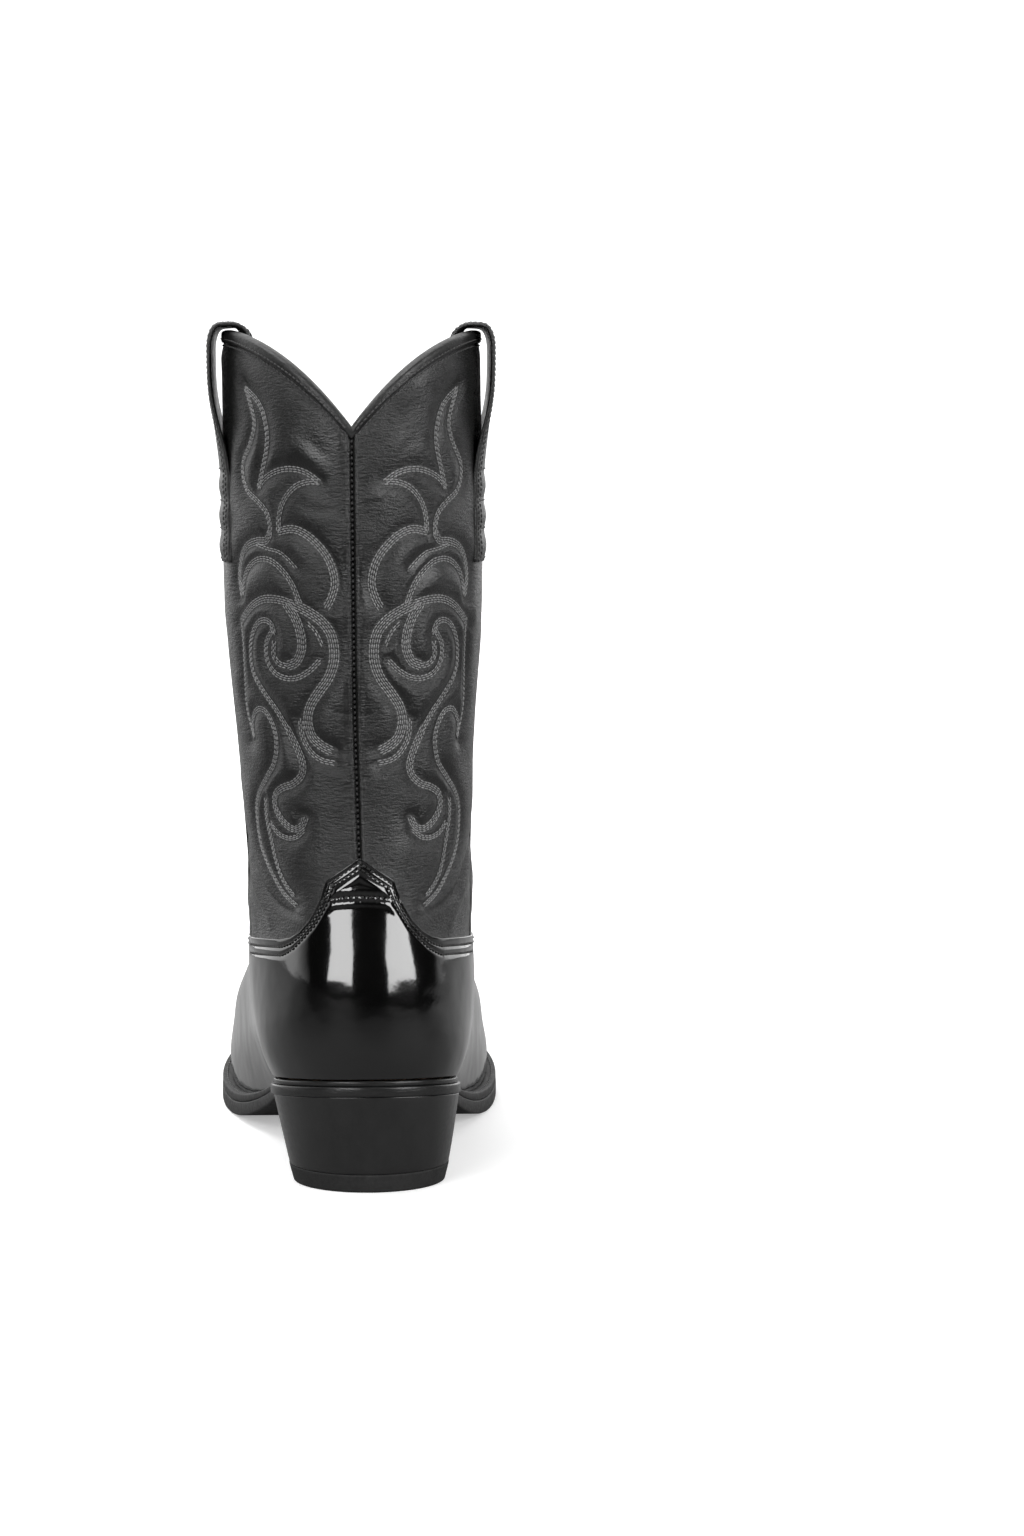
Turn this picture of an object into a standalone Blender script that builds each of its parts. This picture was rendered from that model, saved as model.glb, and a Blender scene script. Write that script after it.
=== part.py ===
"""Left cowboy boot as an assembly of its separate pieces.

Metres, +Z up. The toe points along +Y and the inner (medial) side faces +X. The origin is on the
floor, at the middle of the heel's top lift. Design lengths below are in millimetres.
"""
import math

import bmesh
import bpy
import numpy as np

MM = 0.001
GAP = 0.3            # clearance kept between neighbouring pieces
SOLE_GAP = 0.5       # the same between layers that bend along the arch

# Sole unit
LIFT_HEIGHT = 7.0    # rubber top lift
SEAT_Z = 37.8        # underside of the outsole at the back of the heel
SEAT_BACK = -37.0    # y of the back of the heel seat
SEAT_PITCH = 0.13    # how much the seat falls towards the arch, as a slope
HEEL_BREAST = 33.0   # y of the heel's front face at the top
ARCH_END = 148.0     # y where the outsole comes down to the floor
SPRING_START = 150.0  # y where the toe starts to rise
TOE_SPRING = 19.0
TOE_TIP = 268.0
SPRING_POWER = 1.6
OUTSOLE_HEEL = 3.6   # outsole thickness over the heel
OUTSOLE_BALL = 5.6   # outsole thickness under the ball
WELT_HEEL = 1.7      # rand over the heel
WELT_BALL = 3.5      # welt round the forefoot
INSOLE = 3.0
SOCK = 1.2

# Upper: offsets from the shaft's outer face, outwards positive
LEATHER = 1.4        # shaft panel, counter or vamp thickness
OVERLAY = 1.05       # inner face of the vamp and counter, which lap over the shaft
LINING_FACE = -2.3   # outer face of the lining
LINING = 0.9
SEAM_GAP = 0.001     # half the gap at a butted seam, as a turn
SEAM_Y = 23.0        # y of the side seams, of the shaft and between counter and vamp
PANEL_FOOT = 70.0    # level of the shaft panels' lower edge, under the counter
PANEL_ROWS = 13
STRAP_FOOT = 232.0   # level of the pull straps' sewn lower end
LINING_SPLIT = 96.0  # level where the foot lining meets the shaft lining
FEATHER = 16.0       # level of the feather line, where the upper meets the welt
OVERLAY_FOOT = 19.6  # level of the lower edge of the vamp and counter
LINING_FOOT = 17.8   # level of the lower edge of what lies inside them
NOTCH_Z = 286.0      # bottom of the V in the topline at the back
FRONT_DIP = 3.5      # how much deeper the front V is
NOTCH_RISE = 36.0    # how far the topline rises from the V to the sides
NOTCH_POWER = 2.7
BACK_GAP = 0.0012    # half the gap at the back seam, as a turn
SIDE_GAP = 0.0046    # half the room for the piping at the side seams
PIPING = 0.0026      # half the piping's width, as a turn
PIPING_PROUD = 0.8   # how far the piping stands out, below the pull strap

# Pull straps: sewn outside and inside the shaft, with a finger loop over the topline
STRAP_THICKNESS = 1.5
STRAP_WIDTH = 42.0
STRAP_GIRTH = 340.0  # girth of a whole turn where the straps are
# Stations along a strap: level, offset, and how flat it lies across (0 follows the shaft)
STRAP_PATH = (
    (STRAP_FOOT, 1.1, 0.0), (252.0, 1.1, 0.0), (268.0, 1.2, 0.0), (282.0, 2.6, 0.3), (298.0, 4.4, 0.9),
    (313.0, 4.9, 1.0), (320.0, 4.6, 1.0), (324.2, 2.7, 1.0), (325.2, -0.8, 1.0), (325.0, -4.2, 0.7),
    (322.0, -6.7, 0.2), (314.0, -6.9, 0.0), (300.0, -6.2, 0.0), (284.0, -5.2, 0.0), (270.0, -4.5, 0.0),
    (240.0, -4.4, 0.0))

# Lines of the upper from the feather line to above the topline. Each ring has its level (its
# height at the side), x of its centre, back (y, z), front (y, z), how closely it follows the
# sole's curve, and seven half widths at even steps of angle from back to front.
RINGS = (
    (16, -2.2, (-34.5, 43.6), (262.0, 27.0), 1.00, (24.0, 33.5, 31.0, 40.8, 51.8, 44.8, 22.5)),
    (28, -2.5, (-38.0, 53.5), (265.5, 35.2), 0.85, (25.0, 37.5, 35.8, 42.8, 52.8, 45.2, 23.8)),
    (40, -2.9, (-39.6, 63.5), (261.5, 43.5), 0.70, (24.6, 38.8, 40.0, 44.0, 51.2, 43.2, 23.8)),
    (52, -3.2, (-39.8, 73.5), (246.5, 51.0), 0.55, (23.5, 38.3, 42.0, 43.5, 49.5, 40.5, 22.5)),
    (63, -3.5, (-38.8, 83.5), (217.0, 57.6), 0.40, (22.0, 37.0, 42.4, 42.5, 45.5, 37.5, 21.0)),
    (74, -3.7, (-36.8, 93.5), (182.0, 65.5), 0.28, (20.2, 35.0, 42.0, 41.8, 41.0, 33.5, 19.0)),
    (88, -3.9, (-34.2, 104.5), (146.0, 79.0), 0.18, (18.3, 32.6, 41.2, 41.8, 38.4, 30.5, 17.5)),
    (106, -4.1, (-32.0, 117.5), (111.0, 98.5), 0.10, (16.8, 30.7, 40.0, 42.0, 38.0, 29.0, 16.2)),
    (126, -4.5, (-30.8, 132.5), (85.0, 121.5), 0.04, (16.4, 30.2, 39.2, 42.3, 38.8, 29.4, 15.8)),
    (147, -5.0, (-31.0, 150.0), (75.5, 145.0), 0.00, (16.6, 30.7, 40.1, 43.3, 40.0, 30.4, 16.3)),
    (172, -5.6, (-33.0, 173.0), (75.0, 171.0), 0.00, (17.0, 31.6, 41.4, 44.8, 41.4, 31.6, 17.0)),
    (203, -6.0, (-37.0, 203.0), (79.0, 203.0), 0.00, (18.0, 33.4, 43.8, 47.4, 43.8, 33.4, 18.0)),
    (243, -6.3, (-41.0, 243.0), (84.5, 243.0), 0.00, (18.5, 34.2, 44.9, 48.6, 44.9, 34.2, 18.5)),
    (285, -6.6, (-43.6, 285.0), (88.0, 285.0), 0.00, (18.5, 34.2, 44.8, 48.4, 44.8, 34.2, 18.5)),
    (330, -6.7, (-44.6, 330.0), (89.0, 330.0), 0.00, (18.5, 34.2, 44.8, 48.4, 44.8, 34.2, 18.5)),
)

# Levels of the mesh rows that the vamp, toe box and foot lining share, so that they nest.
FOOT_ROWS = (24.0, 31.0, 39.0, 46.0, 53.0, 59.0, 66.0, 74.0)

# Heel, bottom to top: z, half width, back, breast, x of the centre
BLOCK_RINGS = (
    (LIFT_HEIGHT + GAP, 30.6, -30.5, 29.5, -1.0), (16.0, 32.0, -32.0, 30.3, -1.2),
    (26.0, 33.6, -34.0, 31.3, -1.5), (SEAT_Z - GAP, 35.2, -36.4, 32.5, -1.9))
LIFT_RINGS = ((0.0, 28.8, -29.0, 28.9, -0.9), (LIFT_HEIGHT, 30.6, -30.5, 29.5, -1.0))
HEEL_TAPER = 0.07    # share of the half width that the heel's sides lose towards the breast

# Fasteners
SEAT_CENTRE = -1.8   # x of the middle of the heel seat
NAIL_ANGLES = (-95, -48, 0, 48, 95)  # degrees round the seat from its back
NAIL_RADIUS, NAIL_HEAD, NAIL_FOOT = 1.0, 2.0, 14.0
NAIL_CIRCLE = (22.0, 24.0, -2.0)     # half axes across and along, and y of the centre
SCREW_RADIUS, SCREW_HEAD, SCREW_FOOT, SCREW_Y = 2.0, 4.0, 12.0, 5.0
PIN_POINT = 4.0      # length of a nail's or screw's point
HOLE_PLAY = 0.4      # clearance round and under a fastener
HOLE_RUN_OUT = 5.0   # how far a hole is cut past the pieces it goes through
PEG_PLACES = (52.0, 66.0, 80.0, 94.0)  # y of the waist pegs
PEG_INSET = 8.0
PEG_RADII = (0.8, 1.1)
PEG_HOLE = 1.5
PEG_SKIN = 0.9       # leather left above and below a peg

# Level of the counter's top edge, by share of the way from the back seam (0) to its side seam (1).
COUNTER_EDGE = ((0.0, 119.0), (0.10, 113.2), (0.205, 107.6), (0.25, 97.8), (0.29, 92.0), (0.33, 87.0),
                (0.40, 81.7), (0.47, 79.2), (0.56, 78.2), (0.82, 78.6), (1.0, 79.2))
# Level of the front panel's lower edge, under the vamp, by share of the way across.
FRONT_PANEL_EDGE = ((0.0, 72.0), (0.16, 82.0), (0.26, 94.0), (0.34, 108.0), (0.44, 129.0), (0.5, 138.0),
                    (0.56, 129.0), (0.66, 108.0), (0.74, 94.0), (0.84, 82.0), (1.0, 72.0))
# Level of the vamp's top edge, by share of the way from its side seam (0) to the tongue (1).
VAMP_EDGE = ((0.0, 79.2), (0.2, 81.5), (0.4, 90.0), (0.6, 104.0), (0.76, 122.0), (0.9, 142.0),
             (1.0, 152.0))


def smooth(t):
    """Ease from 0 to 1 as t goes from 0 to 1."""
    t = np.clip(t, 0.0, 1.0)
    return t * t * (3.0 - 2.0 * t)


def natural_spline(knots, values):
    """Smooth curve through the values (one row for each knot), as a function of the knot's variable."""
    knots = np.asarray(knots, float)
    values = np.asarray(values, float).reshape(len(knots), -1)
    step = np.diff(knots)
    system = np.eye(len(knots))
    right = np.zeros_like(values)
    for i in range(1, len(knots) - 1):
        system[i, i - 1:i + 2] = step[i - 1], 2.0 * (step[i - 1] + step[i]), step[i]
        right[i] = 6.0 * ((values[i + 1] - values[i]) / step[i] - (values[i] - values[i - 1]) / step[i - 1])
    bend = np.linalg.solve(system, right)

    def curve(t):
        t = np.asarray(t, float)
        i = np.clip(np.searchsorted(knots, t) - 1, 0, len(knots) - 2)
        h = step[i][..., None]
        a = (knots[i + 1] - t)[..., None] / h
        b = 1.0 - a
        cubic = (a ** 3 - a) * bend[i] + (b ** 3 - b) * bend[i + 1]
        return a * values[i] + b * values[i + 1] + cubic * h * h / 6.0

    return curve


STEPS = np.arange(1, 8)
SINES = np.sin(np.outer(STEPS, STEPS) * math.pi / 8.0)
RING_CURVES = natural_spline(
    [ring[0] for ring in RINGS],
    [(ring[1], *ring[2], *ring[3], ring[4], *(SINES @ ring[5] / 4.0)) for ring in RINGS])


def toward_ball(y):
    return smooth((y - HEEL_BREAST) / (ARCH_END - HEEL_BREAST))


def sole_bottom(y):
    """Height of the outsole's underside: seat, arch, ball and toe spring."""
    arch = (SEAT_Z - SEAT_PITCH * (y - SEAT_BACK)) * (1.0 - toward_ball(y))
    spring = TOE_SPRING * np.clip((y - SPRING_START) / (TOE_TIP - SPRING_START), 0.0, None) ** SPRING_POWER
    return arch + spring


def outsole_top(y):
    return sole_bottom(y) + OUTSOLE_HEEL + (OUTSOLE_BALL - OUTSOLE_HEEL) * toward_ball(y)


def welt_top(y):
    return outsole_top(y) + SOLE_GAP + WELT_HEEL + (WELT_BALL - WELT_HEEL) * toward_ball(y)


def upper_surface(turn, level):
    """Outer face of the shaft. turn runs 0 at the back, 0.25 lateral side, 0.5 front, 0.75 medial side."""
    turn, level = np.broadcast_arrays(np.asarray(turn, float), np.asarray(level, float))
    row = RING_CURVES(level)
    centre, back_y, back_z, front_y, front_z, follow = (row[..., i] for i in range(6))
    share = (1.0 - np.cos(2.0 * math.pi * turn)) / 2.0
    y = back_y + share * (front_y - back_y)
    chord = sole_bottom(back_y) + share * (sole_bottom(front_y) - sole_bottom(back_y))
    z = back_z + share * (front_z - back_z) + follow * (sole_bottom(y) - chord)
    half = np.sum(row[..., 6:] * np.sin(2.0 * math.pi * turn[..., None] * STEPS), axis=-1)
    ball = -2.6 * smooth((y - 20.0) / 110.0) * (1.0 - smooth(z / 140.0)) + 3.0 * smooth((y - 200.0) / 70.0)
    return np.stack([centre + ball - half, y, z], axis=-1)


def upper_point(turn, level, offset):
    """Point on the upper, moved out from the shaft's face by offset."""
    d = 1e-4
    across = upper_surface(turn + d, level) - upper_surface(turn - d, level)
    up = upper_surface(turn, level + 0.05) - upper_surface(turn, level - 0.05)
    normal = np.cross(up, across)
    normal /= np.linalg.norm(normal, axis=-1, keepdims=True)
    return upper_surface(turn, level) + normal * np.asarray(offset, float)[..., None]


def turn_at(y, level):
    """Turn on the lateral side where the ring of this level passes y."""
    row = RING_CURVES(level)
    share = (y - row[..., 1]) / (row[..., 3] - row[..., 1])
    return np.arccos(1.0 - 2.0 * np.clip(share, 0.0, 1.0)) / (2.0 * math.pi)


def side_seam(level):
    """Turn of the lateral side seam, which runs straight down the side."""
    return turn_at(SEAM_Y, level)


def topline(turn):
    """Level of the shaft's top edge: a V at the back and front, high at the sides."""
    from_notch = np.abs((np.asarray(turn) * 2.0 + 0.5) % 1.0 - 0.5) * 2.0
    depth = NOTCH_RISE + np.where(np.cos(2.0 * math.pi * np.asarray(turn)) < 0.0, FRONT_DIP, 0.0)
    return NOTCH_Z + NOTCH_RISE - depth * (1.0 - from_notch) ** NOTCH_POWER


def material(name, colour, roughness, metallic=0.0):
    mat = bpy.data.materials.new(name)
    mat.use_nodes = True
    shader = mat.node_tree.nodes["Principled BSDF"]
    shader.inputs["Base Color"].default_value = (*colour, 1.0)
    shader.inputs["Roughness"].default_value = roughness
    shader.inputs["Metallic"].default_value = metallic
    return mat


def mesh_object(name, points, faces, look=None):
    """Object from points in millimetres, with its faces turned outwards and its own material."""
    mesh = bpy.data.meshes.new(name)
    mesh.from_pydata([tuple(float(c) * MM for c in p) for p in points], [], faces)
    bm = bmesh.new()
    bm.from_mesh(mesh)
    bmesh.ops.recalc_face_normals(bm, faces=bm.faces)
    bm.to_mesh(mesh)
    bm.free()
    obj = bpy.data.objects.new(name, mesh)
    if look:
        mesh.materials.append(material(name, *look))
    bpy.context.scene.collection.objects.link(obj)
    mesh.shade_smooth()
    mesh.set_sharp_from_angle(angle=math.radians(35))
    return obj


def sheet_faces(rows, columns, closed=False):
    """Quads of a grid of points stored row by row; closed joins the last column to the first."""
    last = columns if closed else columns - 1
    return [(r * columns + c, (r + 1) * columns + c,
             (r + 1) * columns + (c + 1) % columns, r * columns + (c + 1) % columns)
            for r in range(rows - 1) for c in range(last)]


def shell(name, grid, thickness, look, closed=False, offset=-1.0):
    """Leather piece: a grid of outer points (rows, columns, 3) thickened inwards."""
    rows, columns = grid.shape[:2]
    mesh = bpy.data.meshes.new(name)
    mesh.from_pydata([tuple(float(c) * MM for c in p) for p in grid.reshape(-1, 3)], [],
                     sheet_faces(rows, columns, closed))
    mesh.shade_smooth()
    obj = bpy.data.objects.new(name, mesh)
    obj.data.materials.append(material(name, *look))
    bpy.context.scene.collection.objects.link(obj)
    solid = obj.modifiers.new("thickness", "SOLIDIFY")
    solid.thickness = thickness * MM
    solid.offset = offset
    solid.use_even_offset = True
    return obj


def rising(low, high, rows, power=1.0):
    """Rows of levels from a low edge to a high one; a power over 1 crowds them at the bottom."""
    def levels(shares):
        return low(shares) + np.linspace(0.0, 1.0, rows)[:, None] ** power * (high(shares) - low(shares))
    return levels


def over_foot(first, last, high, rows):
    """Rows that all foot pieces share, from the level first to last, then rising to a high edge."""
    shared = [first] + [level for level in FOOT_ROWS if first < level <= last]

    def levels(shares):
        level = np.array(shared)[:, None] + 0.0 * shares
        if high is None:
            return level
        above = np.linspace(0.0, 1.0, rows + 1)[1:, None]
        return np.concatenate([level, last + above * (high(shares) - last)])
    return levels


def patch(name, look, left, right, levels, columns, offset, thickness=LEATHER):
    """Piece of the upper. left and right give the turn of its side edges at a level, levels gives
    its rows at shares of the way across, and columns is a count or a list of shares."""
    shares = np.linspace(0.0, 1.0, columns) if isinstance(columns, int) else np.asarray(columns)
    levels = levels(shares)
    turns = left(levels) + shares * (right(levels) - left(levels))
    grid = upper_point(turns, levels, np.full(turns.shape, offset))
    return shell(name, grid, thickness, look)


def constant(value):
    return lambda t: np.full(np.shape(t), float(value))


def edge(knots):
    """Edge level as straight runs between its knots."""
    places, levels = zip(*knots)
    return lambda share: np.interp(share, places, levels)


def outline(turns, margin):
    """Feather line moved out by margin, as (x, y) points."""
    d = 1e-4
    along = (upper_surface(turns + d, FEATHER) - upper_surface(turns - d, FEATHER))[..., :2]
    along /= np.linalg.norm(along, axis=-1, keepdims=True)
    outwards = np.stack([-along[..., 1], along[..., 0]], axis=-1)
    return upper_surface(turns, FEATHER)[..., :2] + outwards * np.asarray(margin, float)[..., None]


def edge_margin(y):
    """How far the sole's edge stands out from the feather line."""
    return 3.0 + 3.3 * smooth((y - HEEL_BREAST) / 90.0)


BAR_CLEAR = 0.006    # turn between a sole layer's first and last cross bar and its tips


def plate(name, look, margin, low, high, start=0.0, end=0.5, stations=25, wide=None):
    """Sole layer: cross bars from the lateral to the medial edge, following the sole's curve."""
    turns = start + (end - start) * np.linspace(0.0, 1.0, stations)
    turns = np.clip(turns, BAR_CLEAR, 0.5 - BAR_CLEAR)
    y = upper_surface(turns, FEATHER)[:, 1]
    reach = margin(y) if callable(margin) else np.full(y.shape, float(margin))
    lateral, medial = outline(turns, reach), outline(1.0 - turns, reach)
    if wide is not None:
        middle = (lateral + medial) / 2.0
        lateral = middle + (-wide / 2.0, 0.0)
        medial = middle + (wide / 2.0, 0.0)
    points = []
    for a, b in zip(lateral, medial):
        points += [(*a, low(a[1])), (*b, low(b[1])), (*b, high(b[1])), (*a, high(a[1]))]
    faces = [(i + k, i + (k + 1) % 4, i + 4 + (k + 1) % 4, i + 4 + k)
             for i in range(0, 4 * (stations - 1), 4) for k in range(4)]
    faces += [(0, 1, 2, 3), tuple(range(4 * stations - 4, 4 * stations))]
    return mesh_object(name, points, faces, look)


def band(name, look, start, end, inner, outer, low, high, stations):
    """Strip that runs round the feather line from one turn to another, with a square section."""
    turns = np.linspace(start, end, stations)
    y = upper_surface(turns, FEATHER)[:, 1]
    near, far = outline(turns, np.full(y.shape, inner)), outline(turns, outer(y))
    points = []
    for a, b in zip(near, far):
        points += [(*a, low(a[1])), (*b, low(b[1])), (*b, high(b[1])), (*a, high(a[1]))]
    faces = [(i + k, i + (k + 1) % 4, i + 4 + (k + 1) % 4, i + 4 + k)
             for i in range(0, 4 * (stations - 1), 4) for k in range(4)]
    faces += [(0, 1, 2, 3), tuple(range(4 * stations - 4, 4 * stations))]
    return mesh_object(name, points, faces, look)


def turned(x, y, sections, sides=8):
    """Points and faces of an upright turned solid from (height, radius) sections, bottom to top."""
    points = []
    for z, radius in sections:
        points += [(x + radius * math.cos(a), y + radius * math.sin(a), z)
                   for a in np.arange(sides) * 2.0 * math.pi / sides]
    faces = sheet_faces(len(sections), sides, closed=True)
    faces += [tuple(range(sides)), tuple(range(len(points) - sides, len(points)))]
    return points, faces


BLACK_LEATHER = ((0.018, 0.018, 0.019), 0.42)
PATENT = ((0.008, 0.008, 0.009), 0.06)
LINING_LEATHER = ((0.03, 0.028, 0.027), 0.7)
BOARD = ((0.35, 0.22, 0.13), 0.8)
SOLE_EDGE = ((0.022, 0.022, 0.023), 0.55)
RUBBER = ((0.02, 0.02, 0.02), 0.75)
STEEL = ((0.55, 0.55, 0.56), 0.35, 1.0)
CORK = ((0.30, 0.17, 0.08), 0.9)
PEG_WOOD = ((0.62, 0.46, 0.27), 0.7)


def build_shaft():
    """Three outer panels, their lining and the piping in the side seams."""
    top_turn = float(side_seam(NOTCH_Z + NOTCH_RISE))
    foot = constant(PANEL_FOOT)
    patch("shaft_back_lateral", BLACK_LEATHER, constant(BACK_GAP), lambda v: side_seam(v) - SIDE_GAP,
          rising(foot, lambda share: topline(BACK_GAP + share * (top_turn - BACK_GAP)), PANEL_ROWS), 9, 0.0)
    patch("shaft_back_medial", BLACK_LEATHER, lambda v: 1.0 + SIDE_GAP - side_seam(v),
          constant(1.0 - BACK_GAP),
          rising(foot, lambda share: topline(1.0 - top_turn + share * (top_turn - BACK_GAP)), PANEL_ROWS),
          9, 0.0)
    across_front = lambda share: topline(top_turn + share * (1.0 - 2.0 * top_turn))
    patch("shaft_front", BLACK_LEATHER, lambda v: side_seam(v) + SIDE_GAP,
          lambda v: 1.0 - SIDE_GAP - side_seam(v),
          rising(edge(FRONT_PANEL_EDGE), across_front, 15, 1.4), 17, 0.0)
    split = constant(LINING_SPLIT)
    across_back = lambda share: topline(top_turn * (2.0 * share - 1.0))
    patch("shaft_lining_back", LINING_LEATHER, lambda v: SEAM_GAP - side_seam(v),
          lambda v: side_seam(v) - SEAM_GAP, rising(split, across_back, 14, 1.4), 17, LINING_FACE, LINING)
    patch("shaft_lining_front", LINING_LEATHER, lambda v: side_seam(v) + SEAM_GAP,
          lambda v: 1.0 - SEAM_GAP - side_seam(v), rising(split, across_front, 14, 1.4), 17,
          LINING_FACE, LINING)
    build_piping("side_piping_lateral", side_seam)
    build_piping("side_piping_medial", lambda v: 1.0 - side_seam(v))


def build_piping(name, seam):
    """Leather cord in a side seam; it lies flush under the pull strap."""
    levels = np.linspace(PANEL_FOOT, NOTCH_Z + NOTCH_RISE, PANEL_ROWS)[1:]
    levels[0] += 2.0
    levels[-1] -= 0.5
    proud = np.where(levels < STRAP_FOOT, PIPING_PROUD, -0.2)
    points = []
    for level, turn, top in zip(levels, seam(levels), proud):
        for du, offset in ((-PIPING, -LEATHER), (PIPING, -LEATHER), (PIPING, top - 0.5), (0.0, top),
                           (-PIPING, top - 0.5)):
            points.append(upper_point(turn + du, level, offset))
    faces = sheet_faces(len(levels), 5, closed=True)
    faces += [tuple(range(5)), tuple(range(len(points) - 5, len(points)))]
    mesh_object(name, points, faces, BLACK_LEATHER)


def build_binding():
    """Folded leather strip over the topline, as a U section carried round it."""
    thickness, leg, over = 0.8, 3.2, 0.6
    outside, inside = GAP, LINING_FACE - LINING - GAP
    section = ((outside, -leg), (outside, over), (inside, over), (inside, -leg),
               (inside - thickness, -leg), (inside - thickness, over + thickness),
               (outside + thickness, over + thickness), (outside + thickness, -leg))
    stations, count = 32, len(section)
    turns = np.arange(stations) / stations
    top = topline(turns)
    rings = np.stack([upper_point(turns, top + dz, np.full(turns.shape, offset))
                      for offset, dz in section], 1)
    faces = [(r * count + c, r * count + (c + 1) % count, (r + 1) % stations * count + (c + 1) % count,
              (r + 1) % stations * count + c) for r in range(stations) for c in range(count)]
    mesh_object("top_binding", rings.reshape(-1, 3), faces, BLACK_LEATHER)


def build_pull_strap(name, middle):
    """Folded leather strap, sewn outside and inside the shaft, with a flat finger loop between."""
    track = natural_spline(range(len(STRAP_PATH)), STRAP_PATH)(np.linspace(0, len(STRAP_PATH) - 1, 25))
    level, offset, flat = (track[:, i, None] for i in range(3))
    turn = middle + STRAP_WIDTH / 2.0 * np.linspace(-1.0, 1.0, 7) / STRAP_GIRTH
    grid = upper_point(turn, level, offset + 0.0 * turn)
    grid[..., 0] += flat * (grid[:, 3:4, 0] - grid[..., 0])
    shell(name, grid, STRAP_THICKNESS, BLACK_LEATHER, offset=0.0)


def build_foot():
    """Counter and vamp, the stiffeners behind them, and the foot lining."""
    def across(first, last):
        """Side edges of a piece that covers these shares of the vamp's span."""
        return [lambda v, share=share: side_seam(v) + share * (1.0 - 2.0 * side_seam(v))
                for share in (first, last)]

    columns = sorted({share for a, _ in COUNTER_EDGE for share in (0.5 - a / 2, 0.5 + a / 2)}
                     | {0.035, 0.965, 0.14, 0.86, 0.22, 0.78})
    counter_top = edge(COUNTER_EDGE)
    high = lambda share: counter_top(np.abs(2.0 * share - 1.0))
    patch("heel_counter", PATENT, lambda v: SEAM_GAP - side_seam(v), lambda v: side_seam(v) - SEAM_GAP,
          rising(constant(OVERLAY_FOOT), high, 10), columns, OVERLAY + LEATHER)
    vamp_top = edge(VAMP_EDGE)
    high = lambda share: vamp_top(1.0 - np.abs(2.0 * share - 1.0))
    patch("vamp", PATENT, *across(SEAM_GAP, 1.0 - SEAM_GAP), over_foot(OVERLAY_FOOT, 74.0, high, 6), 31,
          OVERLAY + LEATHER)
    patch("counter_stiffener", BOARD, lambda v: -0.9 * side_seam(v), lambda v: 0.9 * side_seam(v),
          rising(constant(LINING_FOOT), constant(66.0), 6), 19, 0.0, 1.2)
    patch("toe_box", BOARD, *across(0.3, 0.7), over_foot(LINING_FOOT, 59.0, None, 0), 13, -0.4, 1.2)
    patch("heel_lining", LINING_LEATHER, lambda v: SEAM_GAP - side_seam(v), lambda v: side_seam(v) - SEAM_GAP,
          rising(constant(LINING_FOOT), constant(LINING_SPLIT - 0.5), 8), 17, LINING_FACE, LINING)
    patch("vamp_lining", LINING_LEATHER, *across(SEAM_GAP, 1.0 - SEAM_GAP),
          over_foot(LINING_FOOT, 74.0, constant(LINING_SPLIT - 0.5), 2), 31, LINING_FACE, LINING)


def build_sole():
    """Outsole, welt, rand, cork filler, steel shank, insole and sock."""
    breast_turn = float(turn_at(HEEL_BREAST, FEATHER))
    outsole = plate("outsole", SOLE_EDGE, edge_margin, sole_bottom, outsole_top, stations=33)
    welt_low = lambda y: outsole_top(y) + SOLE_GAP
    band("welt", SOLE_EDGE, breast_turn + 0.003, 0.997 - breast_turn, -5.0, edge_margin, welt_low, welt_top,
         49)
    band("heel_rand", SOLE_EDGE, -breast_turn, breast_turn, -5.0, edge_margin, welt_low, welt_top, 21)
    inside = LINING_FACE - LINING - 2.0 * GAP
    insole_low = lambda y: welt_top(y) + SOLE_GAP
    insole_top = lambda y: welt_top(y) + SOLE_GAP + INSOLE
    insole = plate("insole", BOARD, inside, insole_low, insole_top)
    plate("sock_liner", LINING_LEATHER, inside - 0.4, lambda y: insole_top(y) + GAP,
          lambda y: insole_top(y) + GAP + SOCK)
    plate("cork_filler", CORK, -5.0 - GAP, welt_low, lambda y: welt_top(y) - 0.2,
          start=float(turn_at(126.0, FEATHER)), stations=15)
    plate("steel_shank", STEEL, 0.0, welt_low, lambda y: outsole_top(y) + SOLE_GAP + 1.2,
          start=float(turn_at(16.0, FEATHER)), end=float(turn_at(121.0, FEATHER)), stations=13, wide=13.0)
    return outsole, insole


def heel_ring(z, half_width, back, breast, centre):
    """Outline of a heel lift: an ellipse round the back, nearly straight sides, a straight breast."""
    points = []
    for a in np.linspace(-math.pi / 2.0, math.pi / 2.0, 19):
        points.append((centre + half_width * math.sin(a), back * math.cos(a), z))
    for side, share in ((1.0, 0.5), (1.0, 1.0), (-1.0, 1.0), (-1.0, 0.5)):
        points.append((centre + side * half_width * (1.0 - HEEL_TAPER * share ** 2), breast * share, z))
    return points


def pitched(x, y, z):
    """Heel block point with its height scaled to meet the sloping seat."""
    share = (z - LIFT_HEIGHT) / (SEAT_Z - LIFT_HEIGHT)
    return x, y, z + share * float(sole_bottom(y) - SEAT_Z)


def heel_part(name, look, rings):
    points = [p for ring in rings for p in heel_ring(*ring)]
    if rings[-1][0] > LIFT_HEIGHT:
        points = [pitched(*p) for p in points]
    count = len(points) // len(rings)
    faces = sheet_faces(len(rings), count, closed=True)
    faces += [tuple(range(count)), tuple(range(len(points) - count, len(points)))]
    return mesh_object(name, points, faces, look)


def build_heel():
    """Heel block and rubber top lift, tapering down and forward under the seat."""
    block = heel_part("heel_block", SOLE_EDGE, BLOCK_RINGS)
    heel_part("top_lift", RUBBER, LIFT_RINGS)
    return block


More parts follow.
